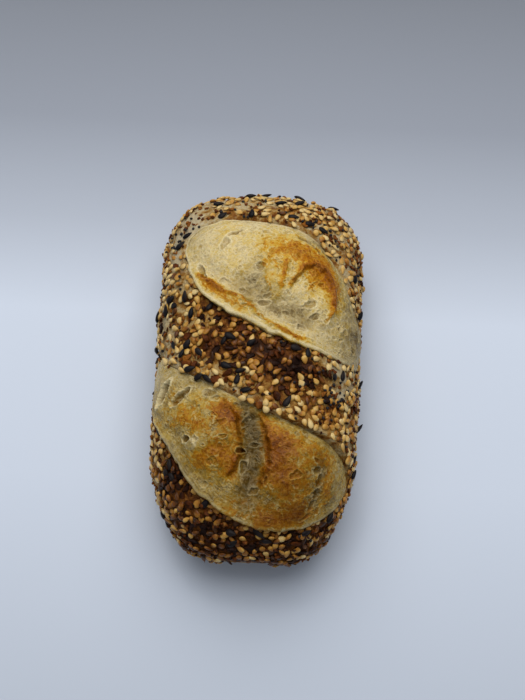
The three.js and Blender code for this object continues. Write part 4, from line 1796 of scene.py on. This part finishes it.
@dataclass
class Seeding:
    """Scatters every kind of topping over the skin, each resting on what lies there already."""

    form: LoafForm
    skin: Skin
    random_seed: int = 11
    tries: int = 50  # places for each seed
    girth_step: float = 0.2  # half the distances over which the skin's area is measured
    along_step: float = 0.1
    most_area: float = 5.0
    clump_mm: float = 8.0
    least_gathered: float = 0.1
    grown_limits: Pair = (0.65, 1.45)
    lean: float = 0.35
    sunk_share: float = 0.2
    top_share: float = 0.7  # how much of its thickness shows over the skin
    high_edge: float = 0.6
    low_overlap: float = 0.4  # how far seeds lie inside the outline of an opening where its edge is low
    high_overlap: float = 0.7
    table_clearance: float = 2.4
    widest_girth: float = 88.0
    farthest_along: float = 72.2
    toppings: tuple[Topping, ...] = (
        Topping(
            Kind.FLAKE, (3.7, 2.6, 1.1), 210, FLAKE_FINISH, "onion_flake", 0.42, crowd=0.06, placed=FLAKES,
            patches=(
                Oval((2, -3), (26, 7), -22, crowd=0.7), Oval((-30, -44), (6, 12), crowd=0.7),
                Oval((0, -70), (50, 8), crowd=0.4), Oval((24, 58), (20, 9), crowd=0.2), *LOW_SIDES,
            ),
            base_toast=0.46, toast_spread=0.22, size_spread=0.25, tilt=22, shapes=8,
        ),
        Topping(
            Kind.SESAME, (3.25, 2.2, 1.15), 1700, SESAME_FINISH, "sesame", 0.56, crowd=0.36, clump=0.5,
            patches=(
                Oval((0, -4), (34, 12), -22, crowd=0.06), Oval((22, -22), (18, 7), -30, crowd=0.6),
                Oval((10, -16), (12, 5), -30, crowd=0.3), Oval((30, -10), (7, 7), crowd=-0.5),
                Oval((0, -72), (60, 15), crowd=0.6), Oval((-34, -52), (8, 14), crowd=0.5),
                Oval((-15, 14), (10, 3), -35, crowd=-0.3), Oval((-30, 50), (12, 9), crowd=-0.3),
                Oval((-12, 62), (14, 8), crowd=-0.14), Oval((-44, 2), (10, 5), crowd=-0.3),
                Oval((50, -8), (10, 10), crowd=-0.1), Oval((20, 62), (14, 8), crowd=0.25),
                Oval((-34, 56), (18, 16), crowd=-0.2), Oval((36, 46), (11, 14), -20, crowd=-0.22),
            ),
            base_toast=0.05, zone_share=0.9, toast_spread=0.22, size_spread=0.14, tilt=16, shapes=3,
        ),
        Topping(
            Kind.BLACK_SESAME, (4.5, 2.4, 1.4), 150, BLACK_SESAME_FINISH, "dark_seed", 0.5, crowd=0.0,
            placed=BLACK_SEEDS, patches=LOW_SIDES, tilt=16, size_spread=0.09, shapes=2,
        ),
        Topping(
            Kind.CRUMB, (1.8, 1.35, 0.9), 1300, CRUMB_FINISH, "onion_flake", 0.5, crowd=0.22, clump=0.9,
            patches=(
                Oval((0, -3), (32, 8), -22, crowd=0.7), Oval((-2, 59), (8, 3), crowd=0.7),
                Oval((-30, -44), (8, 14), crowd=0.7), Oval((0, -70), (60, 12), crowd=0.7),
                Oval((32, -10), (8, 8), crowd=-0.3), Oval((-30, 50), (9, 8), crowd=-0.15),
            ),
            base_toast=0.22, toast_spread=0.25, size_spread=0.25, tilt=30, shapes=4,
        ),
        Topping(
            Kind.POPPY, (1.25, 1.05, 1.0), 420, POPPY_FINISH, "dark_seed", 0.55, crowd=0.13, placed=POPPIES,
            clump=0.8,
            patches=(
                Oval((29, -14), (9, 9), crowd=0.7), Oval((30, 48), (12, 12), -30, crowd=0.6),
                Oval((-46, -8), (5, 14), crowd=0.6), Oval((-34, 48), (9, 18), crowd=0.5),
                Oval((-6, 61), (9, 4), crowd=0.6),
            ),
            tilt=40, size_spread=0.12,
        ),
    )

    def spots(self, draw: np.random.Generator, topping: Topping, tries: int) -> Array:
        """Random places on the skin, by area and by how thickly a topping lies there.

        Args:
            draw: the random numbers.
            topping: what is scattered.
            tries: how many places to try.

        Returns:
            (girth, along) places clear of the openings and the table.
        """
        girth = draw.uniform(-self.widest_girth, self.widest_girth, tries)
        places = np.stack([girth, draw.uniform(-self.farthest_along, self.farthest_along, tries)], axis=1)
        step, back = np.array([self.girth_step, 0.0]), np.array([0.0, self.along_step])
        round_it = self.form.plain(places + step) - self.form.plain(places - step)
        along_it = self.form.plain(places + back) - self.form.plain(places - back)
        face = np.cross(round_it / (2 * self.girth_step), along_it / (2 * self.along_step))
        area = np.nan_to_num(np.linalg.norm(face, axis=1))
        area = np.clip(area, 0, self.most_area) / self.most_area
        chance = draw.uniform(0, 1, tries)
        keep = chance < area * topping.crowding(places)
        keep &= self.form.plain(places)[:, 2] > self.table_clearance
        places, chance = places[keep], draw.uniform(0, 1, int(keep.sum()))
        gathered = 1 + 2 * topping.clump * roughness_at(self.form.plain(places), self.clump_mm, 2, 31.0)
        places = places[chance < np.clip(gathered, self.least_gathered, 1)]
        clear = np.ones(len(places), dtype=bool)
        for depth, edge in self.skin.cuts(places):
            clear &= depth < np.where(np.abs(edge) > self.high_edge, self.high_overlap, self.low_overlap)
        return places[clear]

    def scatter(self, topping: Topping, draw: np.random.Generator, taken: Taken) -> list[Laid]:
        """Finds a place and a pose for every seed of one kind.

        Args:
            topping: the kind.
            draw: the random numbers.
            taken: what lies there already, added to in place.

        Returns:
            The seeds that found room.
        """
        placed = np.array(topping.placed) if topping.placed else np.zeros((0, 3))
        random = self.spots(draw, topping, self.tries * topping.count)
        places = np.vstack([placed[:, :2], random])
        turns = np.radians(np.r_[placed[:, 2], draw.uniform(0, 360, len(random))])
        points = self.form.lifted(places, self.skin.lift(places, self.skin.cuts(places)))
        outward, toast_and_shade = self.form.outward(places), self.skin.toast_and_shade(places)
        laid = []
        for number, (point, out, turn, baked) in enumerate(zip(points, outward, turns, toast_and_shade)):
            if len(laid) == topping.count:
                break
            grown = np.clip(draw.normal(1, topping.size_spread, 3), *self.grown_limits)
            size = np.array(topping.size) * grown
            spacing = topping.spacing if number >= len(placed) else 0.0
            rest, lean = taken.room(point, float(size[0]), spacing)
            if rest is None:
                continue
            tilt = math.tan(math.radians(topping.tilt)) * draw.normal(0, 0.5, 3)
            axes = self.axes(out, out + self.lean * lean + tilt, turn)
            # a seed is painted darker where the skin is baked darker and where shade is painted on the skin
            shade = topping.base_toast + topping.zone_share * baked + draw.normal(0, topping.toast_spread)
            middle = point + out * (rest + (0.5 - self.sunk_share) * size[2])
            laid.append(Laid(middle, axes, size, float(np.clip(shade, 0, 1))))
            taken.add(point, float(size[0]), float(rest + size[2] * self.top_share))
        log.info("%s: %d laid", topping.kind.value, len(laid))
        return laid

    def axes(self, out: Array, normal: Array, turn: float) -> Array:
        """The axes of a seed that lies on the skin.

        Args:
            out: the direction out of the skin.
            normal: the direction that its flat side faces, of any length.
            turn: how far its length is turned from across the loaf, in radians.

        Returns:
            Its lengthwise, crosswise and upward axes, as rows.
        """
        normal = normal / np.linalg.norm(normal)
        right = np.cross(np.array([0.0, 1.0, 0.0]), out)
        along = math.cos(turn) * right + math.sin(turn) * np.cross(out, right)
        across = np.cross(normal, along)
        across = across / np.linalg.norm(across)
        return np.stack([np.cross(across, normal), across, normal])

    def build(self) -> list[bpy.types.Object]:
        """Makes one joined piece for each kind.

        Returns:
            The finished pieces.
        """
        draw = np.random.default_rng(self.random_seed)
        taken = Taken()
        return [self.join(topping, self.scatter(topping, draw, taken), draw) for topping in self.toppings]

    def join(self, topping: Topping, laid: list[Laid], draw: np.random.Generator) -> bpy.types.Object:
        """Copies a kind's model shapes to every place, as one mesh.

        Args:
            topping: the kind.
            laid: where its seeds lie.
            draw: the random numbers.

        Returns:
            The finished piece.
        """
        shapes = [SeedModel(topping.kind, number).build() for number in range(topping.shapes)]
        points, faces, toast_and_shade, tip = [], [], [], []
        first = 0
        for seed in laid:
            shape, polygons = shapes[int(draw.integers(len(shapes)))]
            points.append((shape * seed.size) @ seed.axes + seed.middle)
            faces += [[first + corner for corner in polygon] for polygon in polygons]
            toast_and_shade.append(np.full(len(shape), seed.toast_and_shade))
            tip.append(shape[:, 0] * 2)
            first += len(shape)
        mesh = bpy.data.meshes.new(topping.kind.value)
        mesh.from_pydata((np.vstack(points) * MM).tolist(), [], faces)
        mesh.update()
        mesh.shade_smooth()
        set_attribute(mesh, "toast_and_shade", np.concatenate(toast_and_shade))
        set_attribute(mesh, "tip", np.concatenate(tip))
        piece = bpy.data.objects.new(topping.kind.value, mesh)
        bpy.context.scene.collection.objects.link(piece)
        dress(piece, topping.finish.material())
        return piece


@dataclass(frozen=True)
class SeedModel:
    """The model shape of one seed or flake, one unit long, wide and thick."""

    kind: Kind
    number: int
    first_random_seed: int = 40

    def build(self) -> tuple[Array, list[list[int]]]:
        """Models the shape, and takes its points and faces.

        Returns:
            The points, about the middle with the length along X, and the faces.
        """
        if self.kind in (Kind.FLAKE, Kind.CRUMB):
            piece = self.flake()
        elif self.kind is Kind.POPPY:
            piece = self.ball(7, 5)
        else:
            piece = self.sesame()
        points = points_of(piece)
        points -= (points.max(axis=0) + points.min(axis=0)) / 2
        points /= points.max(axis=0) - points.min(axis=0)
        faces = [list(polygon.vertices) for polygon in piece.data.polygons]
        bpy.data.meshes.remove(piece.data)
        return points, faces

    def ball(self, around: int, rings: int) -> bpy.types.Object:
        """A ball with its poles on X.

        Args:
            around: faces round it.
            rings: rows of faces from pole to pole.

        Returns:
            The new object.
        """
        bpy.ops.object.select_all(action="DESELECT")
        on_its_side = (0, math.pi / 2, 0)
        bpy.ops.mesh.primitive_uv_sphere_add(
            segments=around, ring_count=rings, radius=1, rotation=on_its_side,
        )
        bpy.ops.object.transform_apply(location=False, rotation=True, scale=True)
        return bpy.context.object

    def sesame(self) -> bpy.types.Object:
        """A flat drop: round at one end, drawn to a point at the other.

        Returns:
            The new object.
        """
        piece = self.ball(8, 7)
        points = points_of(piece)
        x = points[:, 0]
        narrowing = 0.86 - (0.30 + 0.05 * self.number) * x - 0.1 * x**2
        points[:, 1] *= narrowing
        points[:, 2] *= narrowing**0.8 * 0.9
        points[:, 2] += 0.10 * (self.number - 1) * x**2
        set_points(piece, points)
        return piece

    def flake(self) -> bpy.types.Object:
        """A crinkled chip of dried onion, with uneven sides.

        Returns:
            The new object.
        """
        draw = np.random.default_rng(self.first_random_seed + self.number)
        piece = self.ball(9, 6) if self.kind is Kind.FLAKE else self.ball(7, 5)
        points = points_of(piece)
        angle = np.arctan2(points[:, 1], points[:, 0])
        one, two, three = draw.uniform(-0.25, 0.25, 3)
        radius = 1 + one * np.cos(angle) + two * np.cos(2 * angle + 1) + three * np.cos(3 * angle)
        points[:, :2] *= radius[:, None]
        x, y, z = points.T
        height = np.sign(z) * np.abs(z) ** 0.6 * 0.45
        height += draw.uniform(-0.3, 0.3) * x**2 + draw.uniform(-0.25, 0.25) * y**2
        height += 0.16 * np.sin(4.5 * x + draw.uniform(0, 6)) * np.cos(3.5 * y)
        points[:, 2] = height
        set_points(piece, points + draw.normal(0, 0.1, points.shape))
        return piece


# ---------------------------------------------------------------- the stage


@dataclass(frozen=True)
class Lamp:
    """A square soft light that faces the loaf, with places and sizes in metres."""

    name: str
    at: tuple[float, float, float]
    size: float
    power: float
    colour: Colour
    aim: tuple[float, float, float] = (0.0, 0.0, 0.02)

    def build(self) -> None:
        """Hangs the light."""
        data = bpy.data.lights.new(self.name, "AREA")
        data.size, data.energy, data.color = self.size, self.power, self.colour
        lamp = bpy.data.objects.new(self.name, data)
        lamp.location = self.at
        lamp.rotation_euler = (Vector(self.at) - Vector(self.aim)).to_track_quat("Z", "Y").to_euler()
        bpy.context.scene.collection.objects.link(lamp)


@dataclass
class Stage:
    """The pale floor, the soft light and the camera."""

    azimuth: float = 2.8
    elevation: float = 70.0
    distance_mm: float = 450.0
    focal_pixels: float = 1170.0
    frame_pixels: tuple[int, int] = (525, 700)
    loaf_at_pixel: Pair = (257.4, 371.2)
    look_height_mm: float = 23.0
    sensor_mm: float = 36.0
    # the floor's colour from front to back, with painted shade far behind the loaf and a little in front
    floor_stops: Stops = (
        (0.0, (0.485, 0.53, 0.615)),
        (0.32, (0.58, 0.635, 0.74)),
        (0.52, (0.58, 0.635, 0.74)),
        (0.64, (0.41, 0.445, 0.52)),
        (0.78, (0.272, 0.294, 0.347)),
        (1.0, (0.178, 0.192, 0.224)),
    )
    floor_from_mm: float = -150.0
    floor_to_mm: float = 200.0
    floor_size: float = 6.0
    clip: Pair = (0.01, 20.0)
    room_colour: Colour = (0.84, 0.91, 1.0)
    room_strength: float = 0.27
    lamps: tuple[Lamp, ...] = (
        Lamp("window", (-0.03, 0.39, 0.78), size=1.0, power=8.2, colour=(1.0, 0.985, 0.95)),
        Lamp("lamp", (-0.12, 0.34, 0.82), size=0.16, power=0.5, colour=(1.0, 0.985, 0.95)),
        Lamp("ceiling", (0.0, -0.05, 0.95), size=1.0, power=1.0, colour=(0.95, 0.98, 1.0)),
    )

    def camera(self) -> None:
        """Sets up the camera at the photograph's angle, with no shift."""
        turn, rise = math.radians(self.azimuth), math.radians(self.elevation)
        back = Vector((math.sin(turn) * math.cos(rise), -math.cos(turn) * math.cos(rise), math.sin(rise)))
        right = Vector((math.cos(turn), math.sin(turn), 0))
        up = back.cross(right)
        pixels_per_mm = self.focal_pixels / self.distance_mm
        off_right = (self.loaf_at_pixel[0] - self.frame_pixels[0] / 2) / pixels_per_mm
        off_down = (self.loaf_at_pixel[1] - self.frame_pixels[1] / 2) / pixels_per_mm
        target = Vector((0, 0, self.look_height_mm)) - right * off_right + up * off_down
        data = bpy.data.cameras.new("camera")
        data.sensor_width = self.sensor_mm
        data.lens = self.focal_pixels * self.sensor_mm / self.frame_pixels[1]
        data.clip_start, data.clip_end = self.clip
        camera = bpy.data.objects.new("camera", data)
        camera.location = (target + back * self.distance_mm) * MM
        camera.rotation_euler = back.to_track_quat("Z", "Y").to_euler()
        bpy.context.scene.collection.objects.link(camera)
        bpy.context.scene.camera = camera

    def floor(self) -> None:
        """Lays the pale floor, with soft painted shade far behind the loaf and a little in front of it."""
        bpy.ops.object.select_all(action="DESELECT")
        bpy.ops.mesh.primitive_plane_add(size=self.floor_size)
        floor = bpy.context.object
        floor.name = "floor"
        paint = Painter("pale_floor")
        split = paint.nodes.new("ShaderNodeSeparateXYZ")
        paint.links.new(paint.place, split.inputs[0])
        far = paint.nodes.new("ShaderNodeMapRange")
        paint.links.new(split.outputs["Y"], far.inputs["Value"])
        far.inputs["From Min"].default_value = self.floor_from_mm * MM
        far.inputs["From Max"].default_value = self.floor_to_mm * MM
        colour = paint.ramp(far.outputs[0], self.floor_stops)
        normal = paint.bump(paint.noise(30.0, detail=2.0), depth_mm=0.05)
        floor.data.materials.append(paint.finish(colour, 0.7, normal, gloss=0.2))

    def build(self) -> None:
        """Sets the whole stage."""
        scene = bpy.context.scene
        scene.view_settings.view_transform = "Standard"
        scene.world = bpy.data.worlds.new("room")
        scene.world.use_nodes = True
        room = scene.world.node_tree.nodes["Background"]
        room.inputs["Color"].default_value = (*self.room_colour, 1.0)
        room.inputs["Strength"].default_value = self.room_strength
        self.floor()
        for lamp in self.lamps:
            lamp.build()
        self.camera()


# ---------------------------------------------------------------- the whole loaf


def main() -> None:
    """Builds every piece in order."""
    logging.basicConfig(level=logging.INFO, format="%(name)s: %(message)s")
    form = LoafForm()
    openings = (FAR_OPENING, NEAR_OPENING)
    skin = Skin(form, openings)
    skin.build(SkinFinish().material())
    dough = DoughFinish().material()
    for number, opening in enumerate(openings):
        Dough(form, opening, seed=DOUGH_RANDOM_SEED + number).build(dough)
    Seeding(form, skin).build()
    Stage().build()


if __name__ == "__main__":
    main()
